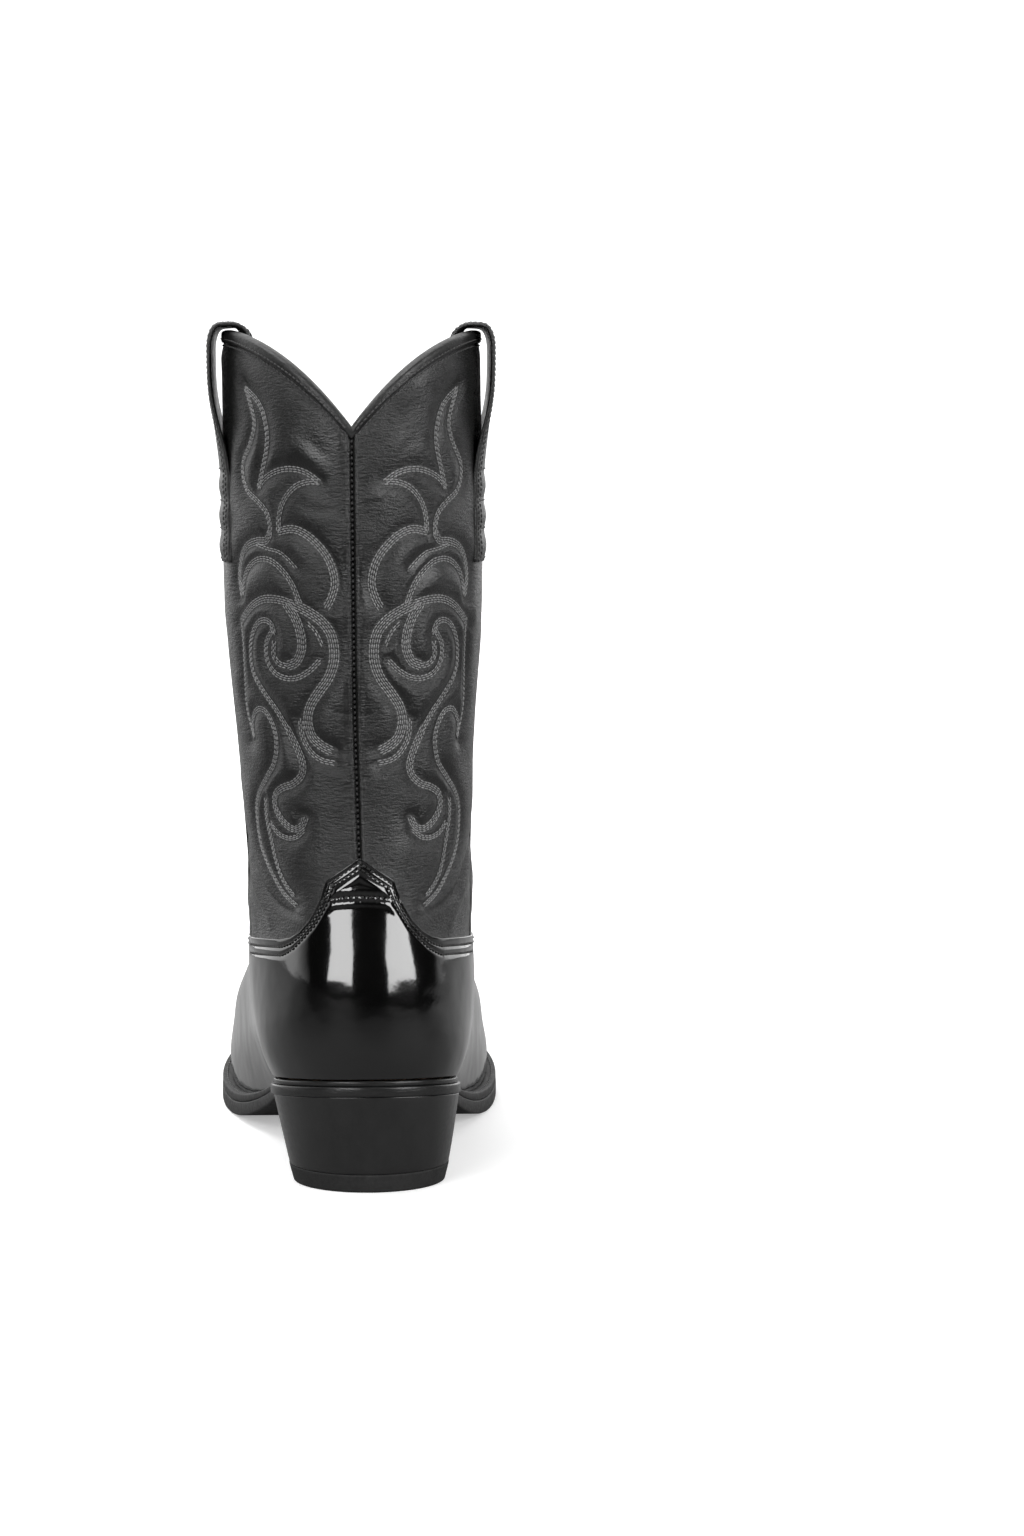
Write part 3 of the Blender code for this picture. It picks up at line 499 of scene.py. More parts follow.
def stitch_points(paths, pitch, length, radius):
    """Thread stitches along paths of (points, normals), as an array (stitch, ring, side, 3)."""
    made = []
    for index, (points, normals) in enumerate(paths):
        run = np.concatenate([[0.0], np.cumsum(np.linalg.norm(np.diff(points, axis=0), axis=-1))])
        count = int(run[-1] / pitch)
        if count < 1:
            continue
        middles = (np.arange(count) + (0.3 if index % 2 else 0.7)) * run[-1] / count

        def at(distance, values):
            return np.stack([np.interp(distance, run, values[:, i]) for i in range(3)], axis=-1)

        along = at(middles + 0.3 * pitch, points) - at(middles - 0.3 * pitch, points)
        along /= np.linalg.norm(along, axis=-1, keepdims=True)
        rise = at(middles, normals)
        rise /= np.linalg.norm(rise, axis=-1, keepdims=True)
        side = np.cross(along, rise)
        centre = at(middles, points)
        share, wide, lift = (STITCH_SHAPE[:, i][None, :, None, None] for i in range(3))
        cos, sin = (STITCH_SECTION[:, i][None, None, :, None] for i in range(2))
        made.append(centre[:, None, None] + along[:, None, None] * share * length
                    + rise[:, None, None] * radius * (lift + wide * sin)
                    + side[:, None, None] * radius * wide * cos)
    return np.concatenate(made)


def add_stitches(name, paths, look, slot, pitch=STITCH_PITCH, length=1.75, radius=THREAD):
    """One piece that holds all the stitches along these paths."""
    stitches = stitch_points(paths, pitch, length, radius)
    rings, sides = stitches.shape[1:3]
    one = np.array(grid_faces(rings, sides, around=True))
    step = rings * sides
    starts = np.arange(len(stitches))[:, None, None] * step
    faces = (one[None] + starts).reshape(-1, 4).tolist()
    caps = np.array([list(range(sides)), list(range((rings - 1) * sides, step))[::-1]])
    faces += (caps[None] + starts).reshape(-1, sides).tolist()
    return add_piece(name, stitches, faces, look, slot)


def on_upper(turn, level, offset):
    """Stitch path at an offset from the upper's smooth face."""
    point, normal = upper_frame(turn, level)
    return point + normal * np.asarray(offset, float)[..., None], normal


class Look:
    """A procedural material, with short calls for its nodes. Texture scales are per metre."""

    def __init__(self, name):
        self.material = bpy.data.materials.new(name)
        self.material.use_nodes = True
        self.tree = self.material.node_tree
        self.shader = self.tree.nodes["Principled BSDF"]
        self.place = self.add("ShaderNodeTexCoord").outputs["Object"]

    def add(self, kind, inputs=(), **settings):
        node = self.tree.nodes.new(kind)
        for key, value in settings.items():
            setattr(node, key, value)
        for key, value in dict(inputs).items():
            self.put(node.inputs[key], value)
        return node

    def put(self, socket, value):
        if isinstance(value, bpy.types.NodeSocket):
            self.tree.links.new(value, socket)
        else:
            socket.default_value = value

    def noise(self, scale, detail=2.0, roughness=0.5, stretch=None):
        place = self.place
        if stretch:
            place = self.add("ShaderNodeMapping", {"Vector": place, "Scale": stretch}).outputs["Vector"]
        return self.add("ShaderNodeTexNoise", {"Vector": place, "Scale": scale, "Detail": detail,
                                               "Roughness": roughness}).outputs["Fac"]

    def cells(self, scale):
        return self.add("ShaderNodeTexVoronoi", {"Vector": self.place, "Scale": scale}).outputs["Distance"]

    def between(self, value, low, high, start=0.3, end=0.7):
        return self.add("ShaderNodeMapRange", {"Value": value, "From Min": start, "From Max": end,
                                               "To Min": low, "To Max": high}).outputs["Result"]

    def patches(self, *noise):
        """Noise spread over the whole range from 0 to 1."""
        return self.between(self.noise(*noise), 0.0, 1.0)

    def times(self, a, b):
        node = self.add("ShaderNodeMath", operation="MULTIPLY")
        self.put(node.inputs[0], a)
        self.put(node.inputs[1], b)
        return node.outputs["Value"]

    def mix(self, factor, low, high):
        node = self.add("ShaderNodeMix", data_type="RGBA")
        self.put(node.inputs[0], factor)
        self.put(node.inputs[6], low)
        self.put(node.inputs[7], high)
        return node.outputs[2]

    def bump(self, height, distance, strength=1.0):
        """Adds relief of this depth in metres, over any that is already there."""
        node = self.add("ShaderNodeBump", {"Height": height, "Distance": distance, "Strength": strength})
        before = self.shader.inputs["Normal"]
        if before.is_linked:
            self.tree.links.new(before.links[0].from_socket, node.inputs["Normal"])
        self.tree.links.new(node.outputs["Normal"], before)
        self.tree.links.new(node.outputs["Normal"], self.shader.inputs["Coat Normal"])

    def set(self, **values):
        for key, value in values.items():
            self.put(self.shader.inputs[key.replace("_", " ")], value)
        return self.material


def grey(value, warmth=0.0):
    return (value * (1.0 + warmth), value, value * (1.0 - warmth), 1.0)


def shaft_leather():
    look = Look("shaft_leather")
    band = look.add("ShaderNodeAttribute", attribute_name="band").outputs["Fac"]
    tone = look.patches(70.0, 4.0, 0.6)
    plain = look.mix(tone, grey(0.006), grey(0.011))
    grain = look.cells(1150.0)
    creases = look.noise(330.0, 5.0, 0.62, (1.0, 1.0, 3.6))
    where = look.between(look.noise(45.0, 2.0), 0.15, 1.0)
    look.bump(look.times(creases, where), 0.0017, 0.6)
    look.bump(grain, 0.00022, 0.4)
    look.bump(look.noise(2400.0, 3.0), 0.00012, 0.5)
    return look.set(Base_Color=look.mix(band, plain, grey(0.022)), Specular_IOR_Level=0.5,
                    Roughness=look.between(look.noise(240.0, 4.0, 0.6), 0.27, 0.39))


def trim_leather():
    look = Look("trim_leather")
    tone = look.patches(130.0, 4.0, 0.6)
    look.bump(look.noise(420.0, 4.0, 0.6, (1.0, 1.0, 2.0)), 0.0006, 0.45)
    look.bump(look.cells(1300.0), 0.0002, 0.4)
    return look.set(Base_Color=look.mix(tone, grey(0.005), grey(0.011)), Specular_IOR_Level=0.42,
                    Roughness=look.between(look.noise(300.0, 3.0), 0.34, 0.5))


def patent_leather():
    look = Look("patent_leather")
    tone = look.patches(50.0, 3.0)
    look.bump(look.noise(62.0, 1.0), 0.0015, 0.4)
    look.bump(look.noise(260.0, 2.0, 0.5), 0.00012, 0.3)
    return look.set(Base_Color=look.mix(tone, grey(0.0012), grey(0.0022)), Specular_IOR_Level=0.1,
                    Coat_Weight=1.0, Coat_Roughness=0.1, Coat_IOR=1.7,
                    Roughness=look.between(look.noise(420.0, 3.0), 0.07, 0.16))


def thread(name, dark, light):
    look = Look(name)
    look.bump(look.noise(2600.0, 3.0), 0.0002, 0.7)
    tone = look.patches(700.0, 3.0)
    return look.set(Base_Color=look.mix(tone, grey(dark), grey(light)),
                    Roughness=look.between(look.noise(900.0), 0.45, 0.6), Sheen_Weight=0.08,
                    Sheen_Roughness=0.5)


def lining_leather():
    look = Look("lining_leather")
    tone = look.patches(90.0, 5.0, 0.65)
    look.bump(look.noise(240.0, 5.0, 0.6, (1.0, 1.0, 1.6)), 0.0006, 0.5)
    look.bump(look.cells(1500.0), 0.00018, 0.5)
    return look.set(Base_Color=look.mix(tone, grey(0.022, 0.06), grey(0.042, 0.06)),
                    Roughness=look.between(look.noise(500.0, 3.0), 0.55, 0.75))


def sole_edge():
    """Matte dressed edge round the forefoot, polished round the heel seat."""
    look = Look("sole_edge")
    along = look.add("ShaderNodeSeparateXYZ", {"Vector": look.place}).outputs["Y"]
    front = look.between(along, 0.0, 1.0, 0.03, 0.06)
    tone = look.patches(160.0, 5.0, 0.65, (0.4, 0.4, 3.0))
    matte = look.between(look.noise(600.0, 3.0), 0.5, 0.66)
    roughness = look.add("ShaderNodeMix", data_type="FLOAT")
    look.put(roughness.inputs[0], front)
    roughness.inputs[2].default_value = 0.2
    look.put(roughness.inputs[3], matte)
    look.bump(look.noise(420.0, 4.0, 0.6, (0.35, 0.35, 3.0)), 0.0003, 0.4)
    look.bump(look.noise(2000.0, 2.0), 0.0001, 0.4)
    return look.set(Base_Color=look.mix(tone, grey(0.012), grey(0.022)), Roughness=roughness.outputs[0],
                    Specular_IOR_Level=0.35)


def heel_lacquer():
    look = Look("heel_lacquer")
    tone = look.patches(110.0, 4.0, 0.6, (1.0, 1.0, 0.5))
    look.bump(look.noise(60.0, 2.0), 0.0006, 0.25)
    look.bump(look.noise(900.0, 3.0, 0.6), 0.00007, 0.3)
    return look.set(Base_Color=look.mix(tone, grey(0.006), grey(0.011)), Coat_Weight=0.7,
                    Coat_Roughness=0.16, Specular_IOR_Level=0.35,
                    Roughness=look.between(look.noise(500.0, 3.0), 0.28, 0.4))


def rubber():
    look = Look("lift_rubber")
    tone = look.patches(220.0, 5.0, 0.7)
    look.bump(look.noise(1500.0, 3.0, 0.6), 0.00018, 0.5)
    return look.set(Base_Color=look.mix(tone, grey(0.014), grey(0.022)), Specular_IOR_Level=0.3,
                    Roughness=look.between(look.noise(800.0, 3.0), 0.66, 0.84))


def plain_stuff(name, dark, light, rough, scale, depth, metallic=0.0, stretch=None):
    """Hidden parts: board, cork, steel and wood."""
    look = Look(name)
    tone = look.patches(scale, 5.0, 0.65, stretch)
    look.bump(look.noise(scale * 2.5, 4.0, 0.6, stretch), depth, 0.5)
    return look.set(Base_Color=look.mix(tone, (*dark, 1.0), (*light, 1.0)), Metallic=metallic,
                    Roughness=look.between(look.noise(scale * 1.7, 3.0), rough - 0.08, rough + 0.08))


SHAFT_LEATHER = shaft_leather()
TRIM = trim_leather()
PATENT = patent_leather()
BAND_THREAD = thread("band_thread", 0.15, 0.26)
SEAM_THREAD = thread("seam_thread", 0.004, 0.012)
EDGE_THREAD = thread("edge_thread", 0.03, 0.06)
LINING = lining_leather()
SOLE = sole_edge()
HEEL = heel_lacquer()
RUBBER = rubber()


def flat(value):
    return lambda t: np.full(np.shape(t), float(value))


def edge(knots):
    """Edge level as straight runs between its knots."""
    places, levels = zip(*knots)
    return lambda share: np.interp(share, places, levels)


BACK_GAP = 0.0011     # half the gap at the back seam, as a turn
SIDE_GAP = 0.0040     # half the room for the piping in the side seams
LINING_GAP = 0.0008   # half the gap between the linings
FOOT_GAP = 0.002      # half the gap between counter and vamp
TOP_TURN = float(side_seam(NOTCH_Z + NOTCH_RISE))
FRONT_EDGE = edge(FRONT_PANEL_EDGE)
VAMP_TOP = edge(VAMP_EDGE)
COUNTER_TOP = edge(COUNTER_EDGE)


def back_sides(gap):
    """Side edges of a piece round the back, short of the side seams by gap."""
    return lambda v: gap - side_seam(v), lambda v: side_seam(v) - gap


def front_sides(gap):
    """Side edges of a piece round the front, short of the side seams by gap."""
    return lambda v: side_seam(v) + gap, lambda v: 1.0 - gap - side_seam(v)


def front_topline(share):
    return topline(TOP_TURN + share * (1.0 - 2.0 * TOP_TURN))


def add_band_attribute(obj, turn, level):
    """Marks the stitched bands on the mesh, for the leather's colour."""
    values = np.exp(-(band_gap(turn, level) / 0.5) ** 2).ravel()
    obj.data.attributes.new("band", "FLOAT", "POINT").data.foreach_set("value", values)


def build_shaft():
    """Three panels with the ornament's relief, and piping in the side seams."""
    near_seam = np.concatenate([np.linspace(0.0, 0.05, 16), np.linspace(0.05, 1.0, 105)[1:]])
    foot = flat(PANEL_FOOT)
    made = [
        leather_piece("shaft_panel_lateral", SHAFT_LEATHER, "shaft_leather", "shaft_back_lateral",
                      flat(BACK_GAP), lambda v: side_seam(v) - SIDE_GAP, foot,
                      lambda share: topline(BACK_GAP + share * (TOP_TURN - BACK_GAP)),
                      near_seam, 300, shaft_height),
        leather_piece("shaft_panel_medial", SHAFT_LEATHER, "shaft_leather", "shaft_back_medial",
                      lambda v: 1.0 + SIDE_GAP - side_seam(v), flat(1.0 - BACK_GAP), foot,
                      lambda share: topline(1.0 - TOP_TURN + share * (TOP_TURN - BACK_GAP)),
                      1.0 - near_seam[::-1], 300, shaft_height),
        leather_piece("shaft_panel_front", SHAFT_LEATHER, "shaft_leather", "shaft_front",
                      *front_sides(SIDE_GAP), lambda share: FRONT_EDGE(0.5 - np.abs(share - 0.5)),
                      front_topline, 210, 280, shaft_height)]
    for obj, turn, level in made:
        add_band_attribute(obj, turn, level)
    for side, flip in (("lateral", False), ("medial", True)):
        build_piping(side, flip)


def build_piping(side, flip):
    """Leather cord laid in a side seam; under the pull strap it lies flush."""
    levels = np.linspace(PANEL_FOOT + 2.0, NOTCH_Z + NOTCH_RISE - 1.0, 160)
    middle = 1.0 - side_seam(levels) if flip else side_seam(levels)
    proud = 1.0 - 1.3 * smooth((levels - STRAP_FOOT + 6.0) / 8.0)
    angles = np.linspace(0.0, 2.0 * math.pi, 12, endpoint=False)
    turns = middle[:, None] - PIPING_TURN * np.cos(angles)
    offsets = proud[:, None] + PIPING_RADIUS * (np.sin(angles) - 1.0)
    rings = upper_point(turns, levels[:, None], offsets)
    sweep(f"seam_piping_{side}", rings, TRIM, "shaft_leather", (f"side_piping_{side}",))


def ornament_paths(front, flip):
    """Every row of stitches of one quarter's ornament."""
    paths = []
    for rows, line in ORNAMENT:
        middle = curve_through(line, 0.8)
        for row in range(rows):
            place, level = beside(middle, (row - (rows - 1) / 2.0) * STITCH_ROW).T
            if front:
                place = 2.0 * girth(side_seam(level), level) - place
            turn = turn_at_girth(place, level)
            turn = 1.0 - turn if flip else turn
            paths.append(on_upper(turn, level, shaft_height(turn, level) + 0.12))
    return paths


def build_shaft_stitching():
    for label, front in (("back", False), ("front", True)):
        for side, flip in (("lateral", False), ("medial", True)):
            add_stitches(f"ornament_stitching_{label}_{side}", ornament_paths(front, flip), BAND_THREAD,
                         "shaft_leather")
    level = np.linspace(116.0, NOTCH_Z - 3.5, 300)
    add_stitches("back_seam_stitching", [on_upper(0.0 * level, level, -0.2 + 0.0 * level)], SEAM_THREAD,
                 "shaft_leather", 2.05, SEAM_STITCH, 0.5)


def build_lining():
    """Lining panels, seen through the mouth of the boot."""
    inner = flat(LINING_FACE - 0.9)
    top = 0.5

    def height(turn, level):
        return inner(turn) + 0.25 * ripple(300.0 * turn, level, 22.0, 11)

    for name, left, right, high in (
            ("shaft_lining_back", *back_sides(LINING_GAP),
             lambda share: topline(TOP_TURN * (2.0 * share - 1.0)) - top),
            ("shaft_lining_front", *front_sides(LINING_GAP), lambda share: front_topline(share) - top)):
        obj, _, _ = leather_piece(name + "_skin", LINING, "lining", name, left, right,
                                  flat(LINING_FOOT), high, 90, 120, height, -0.8)
        obj.data.flip_normals()


# Section of the binding as (offset from the upper, height over the topline)
BINDING_SECTION = (
    (0.15, -3.2), (0.75, -3.3), (1.0, -3.0), (1.1, -2.4), (1.12, -0.6), (1.0, 0.5), (0.5, 1.0),
    (-0.3, 1.3), (-1.2, 1.4), (-2.2, 1.4), (-3.1, 1.2), (-3.8, 0.9), (-4.15, 0.1), (-4.2, -2.4),
    (-4.0, -3.0), (-3.5, -3.2), (-3.4, 0.0), (-1.2, 0.7), (0.1, 0.0))


def build_binding():
    """Folded leather strip over the topline, with a row of stitches through it and one below."""
    turns = np.arange(560) / 560.0
    top = topline(turns)
    rings = np.stack([upper_point(turns, top + rise, flat(offset)(turns))
                      for offset, rise in BINDING_SECTION], 1)
    sweep("topline_binding", rings, TRIM, "shaft_leather", ("top_binding",), closed_path=True)
    paths = []
    for start, end in ((0.006, 0.494), (0.506, 0.994)):
        turn = np.linspace(start, end, 400)
        level = topline(turn)
        paths.append(on_upper(turn, level - 1.9, flat(1.2)(turn)))
        paths.append(on_upper(turn, level - 4.3, shaft_height(turn, level - 4.3) + 0.15))
    add_stitches("binding_stitching", paths, EDGE_THREAD, "shaft_leather", 2.0, 1.6)


STRAP_FOOT = 236.0
STRAP_HALF_WIDTH = 21.0
STRAP_TURN = 340.0    # girth of a whole turn under the straps
STRAP_THICKNESS = 1.6
# Level and offset along the strap, and how flat it lies across instead of following the shaft
STRAP_PATH = (
    (STRAP_FOOT, 1.1, 0.0), (252.0, 1.1, 0.0), (268.0, 1.2, 0.0), (282.0, 2.6, 0.3), (298.0, 4.4, 0.9),
    (313.0, 4.9, 1.0), (320.0, 4.6, 1.0), (324.2, 2.7, 1.0), (325.2, -0.8, 1.0), (325.0, -4.2, 0.7),
    (322.0, -6.7, 0.2), (314.0, -6.9, 0.0), (300.0, -6.2, 0.0), (284.0, -5.2, 0.0), (270.0, -4.5, 0.0),
    (240.0, -4.4, 0.0))
STRAP_PUFFS = 3       # padded folds across the sewn end
STRAP_PUFF = 11.5


def build_pull_strap(side, middle):
    """Folded strap sewn outside and inside the shaft, with a finger loop over the topline."""
    track = natural_spline(range(len(STRAP_PATH)), STRAP_PATH)(np.linspace(0.0, len(STRAP_PATH) - 1.0, 190))
    level, offset, lie = (track[:, i, None] for i in range(3))
    wide = np.linspace(-1.0, 1.0, 33)
    turn = middle + STRAP_HALF_WIDTH * wide / STRAP_TURN
    outside = np.arange(len(track))[:, None] < 0.5 * len(track)
    sewn = outside & (level < STRAP_FOOT + STRAP_PUFFS * STRAP_PUFF)
    puff = np.sin(math.pi * (level - STRAP_FOOT) / STRAP_PUFF) ** 2 * (1.0 - np.abs(wide) ** 6)
    sheet = upper_point(turn, level, offset + np.where(sewn, 0.8 * puff - 0.2, 0.0))
    sheet[..., 0] += lie * (sheet[:, 16:17, 0] - sheet[..., 0])
    rings, face, normal = slab(sheet, STRAP_THICKNESS, 0.55)
    sweep(f"strap_{side}", rings, TRIM, "shaft_leather", (f"pull_strap_{side}",))
    paths = [(face[:, column] + 0.1 * normal[:, column], normal[:, column]) for column in (2, 4, -5, -3)]
    for fold in range(STRAP_PUFFS + 1):
        row = int(np.argmin(np.abs(level[:90, 0] - STRAP_FOOT - 1.2 - fold * STRAP_PUFF * 0.97)))
        paths.append((face[row, 2:-2] + 0.1 * normal[row, 2:-2], normal[row, 2:-2]))
    add_stitches(f"strap_stitching_{side}", paths, EDGE_THREAD, "shaft_leather", 2.0, 1.6)


def edge_rows(turn, level, distances, offset):
    """Stitch rows inside an edge of the upper, at these distances from it."""
    point, normal = upper_frame(turn, level)
    along = np.gradient(point, axis=0)
    inward = np.cross(normal, along)
    inward /= np.linalg.norm(inward, axis=-1, keepdims=True)
    return [(point + inward * d + normal * offset, normal) for d in distances]


def spread_knots(knots, count):
    """Even shares with the edge's own corners among them."""
    return np.unique(np.round(np.concatenate([np.linspace(0.0, 1.0, count), knots]), 5))


TAB_ROWS = (1.5, 3.2)          # stitch rows inside the counter's edge
TAB_LINE = ((-14.5, 97.0), (-8.0, 98.6), (0.0, 99.2), (8.0, 98.6), (14.5, 97.0))  # row across the tab


def counter_edge_track():
    share = np.concatenate([np.linspace(a[0], b[0], 40, endpoint=False)
                            for a, b in zip(COUNTER_EDGE, COUNTER_EDGE[1:])] + [[1.0]])
    share = np.concatenate([-share[:0:-1], share])
    share = share[np.abs(share) < 0.975]
    level = COUNTER_TOP(np.abs(share))
    return share * side_seam(level), level


def tab_track():
    place, level = curve_through(TAB_LINE, 0.8).T
    turn = turn_at_girth(np.abs(place), level)
    return np.where(place < 0.0, -turn, turn), level


def build_counter():
    """Patent heel counter with its pointed tab, stitched along the edge and across the tab."""
    turn, level = counter_edge_track()
    lower = 1.0 + 0.9 * smooth((np.abs(turn / side_seam(level)) - 0.36) / 0.2)
    rows = edge_rows(turn, level, [d * lower[:, None] for d in TAB_ROWS], OVERLAY)
    across = [on_upper(*tab_track(), flat(OVERLAY)(tab_track()[0]))]
    seams = np.concatenate([points[::3] for points, _ in rows + across])

    def height(turn, level):
        points = upper_point(turn, level, flat(OVERLAY)(turn))
        nearest = np.full(turn.shape, 1e9)
        for seam in seams:
            nearest = np.minimum(nearest, np.sum((points - seam) ** 2, axis=-1))
        groove = np.exp(-nearest / 0.9 ** 2)
        roll = 0.55 * np.exp(-(np.sqrt(nearest) - 2.6) ** 2 / 1.6)
        tab = smooth((level - 88.0) / 10.0)
        swell = 0.12 * ripple(girth(turn, level) * np.sign(turn), level, 16.0, 21)
        return OVERLAY - 0.45 * groove + roll * tab + swell

    corners = [0.5 + sign * a / 2.0 for a, _ in COUNTER_EDGE for sign in (-1.0, 1.0)]
    leather_piece("counter_patent", PATENT, "patent", "heel_counter",
                  *back_sides(FOOT_GAP), flat(OVERLAY_FOOT),
                  lambda share: COUNTER_TOP(np.abs(2.0 * share - 1.0)), spread_knots(corners, 190), 170,
                  height, rim=0.004)
    raised = [(points - 0.16 * normals, normals) for points, normals in rows + across]
    add_stitches("counter_stitching", raised, SEAM_THREAD, "patent", STITCH_PITCH, SEAM_STITCH, 0.36)


def build_vamp():
    """Patent vamp with its tongue over the instep."""
    share = np.linspace(0.02, 0.98, 700)
    level = VAMP_TOP(1.0 - np.abs(2.0 * share - 1.0))
    start = side_seam(level)
    rows = edge_rows(start + share * (1.0 - 2.0 * start), level, TAB_ROWS, OVERLAY - 0.3)

    def height(turn, level):
        return OVERLAY - 0.25 + 0.12 * ripple(300.0 * turn, level, 18.0, 23)

    corners = [0.5 + sign * (1.0 - a) / 2.0 for a, _ in VAMP_EDGE for sign in (-1.0, 1.0)]
    leather_piece("vamp_patent", PATENT, "patent", "vamp",
                  *front_sides(FOOT_GAP), flat(OVERLAY_FOOT),
                  lambda share: VAMP_TOP(1.0 - np.abs(2.0 * share - 1.0)), spread_knots(corners, 230), 150,
                  height, rim=0.004)
    add_stitches("vamp_stitching", rows, SEAM_THREAD, "patent", STITCH_PITCH, SEAM_STITCH, 0.3)


def rounded_section(inner, outer, low, high, radius):
    """Section of a sole layer as (margin, height), with its outer corners rounded."""
    corner = np.radians((0.0, 30.0, 60.0, 90.0))
    bottom = [(outer - radius + radius * math.sin(a), low + radius - radius * math.cos(a)) for a in corner]
    top = [(m, high + low - z) for m, z in reversed(bottom)]
    return [(inner, low)] + bottom + top + [(inner, high)]


def layer_rings(turns, low, high, inset, radius, inner=-6.0):
    """Sections of a sole layer at these turns of the feather line."""
    rings = []
    for turn in turns:
        y = float(upper_surface(turn, FEATHER)[1])
        section = rounded_section(inner, float(edge_margin(y)) - inset, float(low(y)), float(high(y)),
                                  radius)
        margins = np.array([m for m, _ in section])
        places = outline(np.full(len(section), turn), margins)
        rings.append([(x, at, z + float(low(at)) - float(low(y)))
                      for (x, at), (_, z) in zip(places, section)])
    return np.array(rings)


def build_outsole():
    """Outsole: a rounded edge all round, and flat faces that follow the arch."""
    count = 420
    rings = layer_rings(np.arange(count) / count, sole_bottom, lambda y: outsole_top(y) + 0.3,
                        0.0, EDGE_RADIUS, -4.0)
    ring = rings.shape[1]
    faces = grid_faces(count, ring, loop=True)
    for column, turned in ((0, False), (ring - 1, True)):
        for r in range(count // 2):
            across = (r, r + 1, (count - r - 1) % count, (count - r) % count)
            quad = list(dict.fromkeys(row * ring + column for row in across))
            faces.append(tuple(quad if turned else quad[::-1]))
    add_piece("outsole_body", rings, faces, SOLE, "sole_edge", "outsole")


def build_welt():
    """Welt round the forefoot with its row of stitches, and the rand round the heel."""
    breast = float(turn_at(HEEL_BREAST, FEATHER))

    def low(y):
        return outsole_top(y) + WELT_FOOT

    welt = layer_rings(np.linspace(breast + 0.003, 0.997 - breast, 380), low, welt_top, 0.12,
                       EDGE_RADIUS)
    sweep("welt_strip", welt, SOLE, "sole_edge", ("welt",))
    rand = layer_rings(np.linspace(-breast, breast, 160), low, lambda y: welt_top(y) + 0.3, 1.1,
                       EDGE_RADIUS)
    sweep("rand_strip", rand, SOLE, "sole_edge", ("heel_rand",))
    turn = np.linspace(breast + 0.012, 0.988 - breast, 900)
    y = upper_surface(turn, FEATHER)[:, 1]
    place = outline(turn, edge_margin(y) - 2.1)
    points = np.column_stack([place, welt_top(place[:, 1]) + 0.1])
    add_stitches("welt_stitching", [(points, np.tile((0.0, 0.0, 1.0), (len(points), 1)))], EDGE_THREAD,
                 "sole_edge", 3.3, 2.7, 0.38)


def heel_ring(half_width, back, breast, centre, corner=4.0):
    """Outline of a heel lift: an ellipse round the back, nearly straight sides, round breast corners."""
    points = [(centre + half_width * math.sin(a), back * math.cos(a))
              for a in np.linspace(-math.pi / 2.0, math.pi / 2.0, 73)]
    narrow = 0.93 * half_width - corner
    right = [(centre + half_width * (1.0 - 0.07 * t * t), (breast - corner) * t)
             for t in np.linspace(0.1, 1.0, 10)]
    right += [(centre + narrow + corner * math.cos(a), breast - corner + corner * math.sin(a))
              for a in np.radians((15, 30, 45, 60, 75, 90))]
    left = [(2.0 * centre - x, y) for x, y in reversed(right)]
    middle = [(centre + narrow * t, breast - 0.6 * (1.0 - t * t)) for t in np.linspace(0.8, -0.8, 9)]
    return points + right + middle + left


def heel_body(name, look, slot, node, profile, radius):
    """Heel piece from (z, half width, back, breast, centre) stations, with rounded rims."""
    stations = natural_spline([row[0] for row in profile], [row[1:] for row in profile])
    low, high = profile[0][0], profile[-1][0]
    turn_in = np.radians(np.linspace(90.0, 0.0, 5))
    levels = [(low + radius - radius * math.sin(a), radius * (1.0 - math.cos(a))) for a in turn_in]
    middle = [(z, 0.0) for z in np.linspace(low + radius, high - radius, 14)[1:-1]]
    upper = [(low + high - z, inset) for z, inset in reversed(levels)]
    rings = []
    for z, inset in levels + middle + upper:
        half, back, breast, centre = stations(z)
        share = max(z - LIFT_HEIGHT, 0.0) / (SEAT_Z - LIFT_HEIGHT)
        rings.append([(x, y, z + share * float(sole_bottom(y) - SEAT_Z))
                      for x, y in heel_ring(half - inset, back + inset, breast - inset, centre)])
    sweep(name, np.array(rings)[:, ::-1], look, slot, (node,))


def build_heel():
    heel_body("heel_stack", HEEL, "heel_stack", "heel_block",
              ((LIFT_HEIGHT + 0.15, 30.5, -30.4, 29.4, -1.0), (16.0, 32.0, -32.0, 30.3, -1.2),
               (26.0, 33.6, -34.0, 31.3, -1.5), (SEAT_Z - 0.05, 35.4, -36.6, 32.6, -1.9)), 0.35)
    heel_body("heel_lift", RUBBER, "top_lift", "top_lift",
              ((0.0, 28.9, -29.1, 28.9, -0.9), (3.5, 29.8, -29.9, 29.3, -0.95),
               (LIFT_HEIGHT, 30.7, -30.6, 29.6, -1.0)),
              0.6)


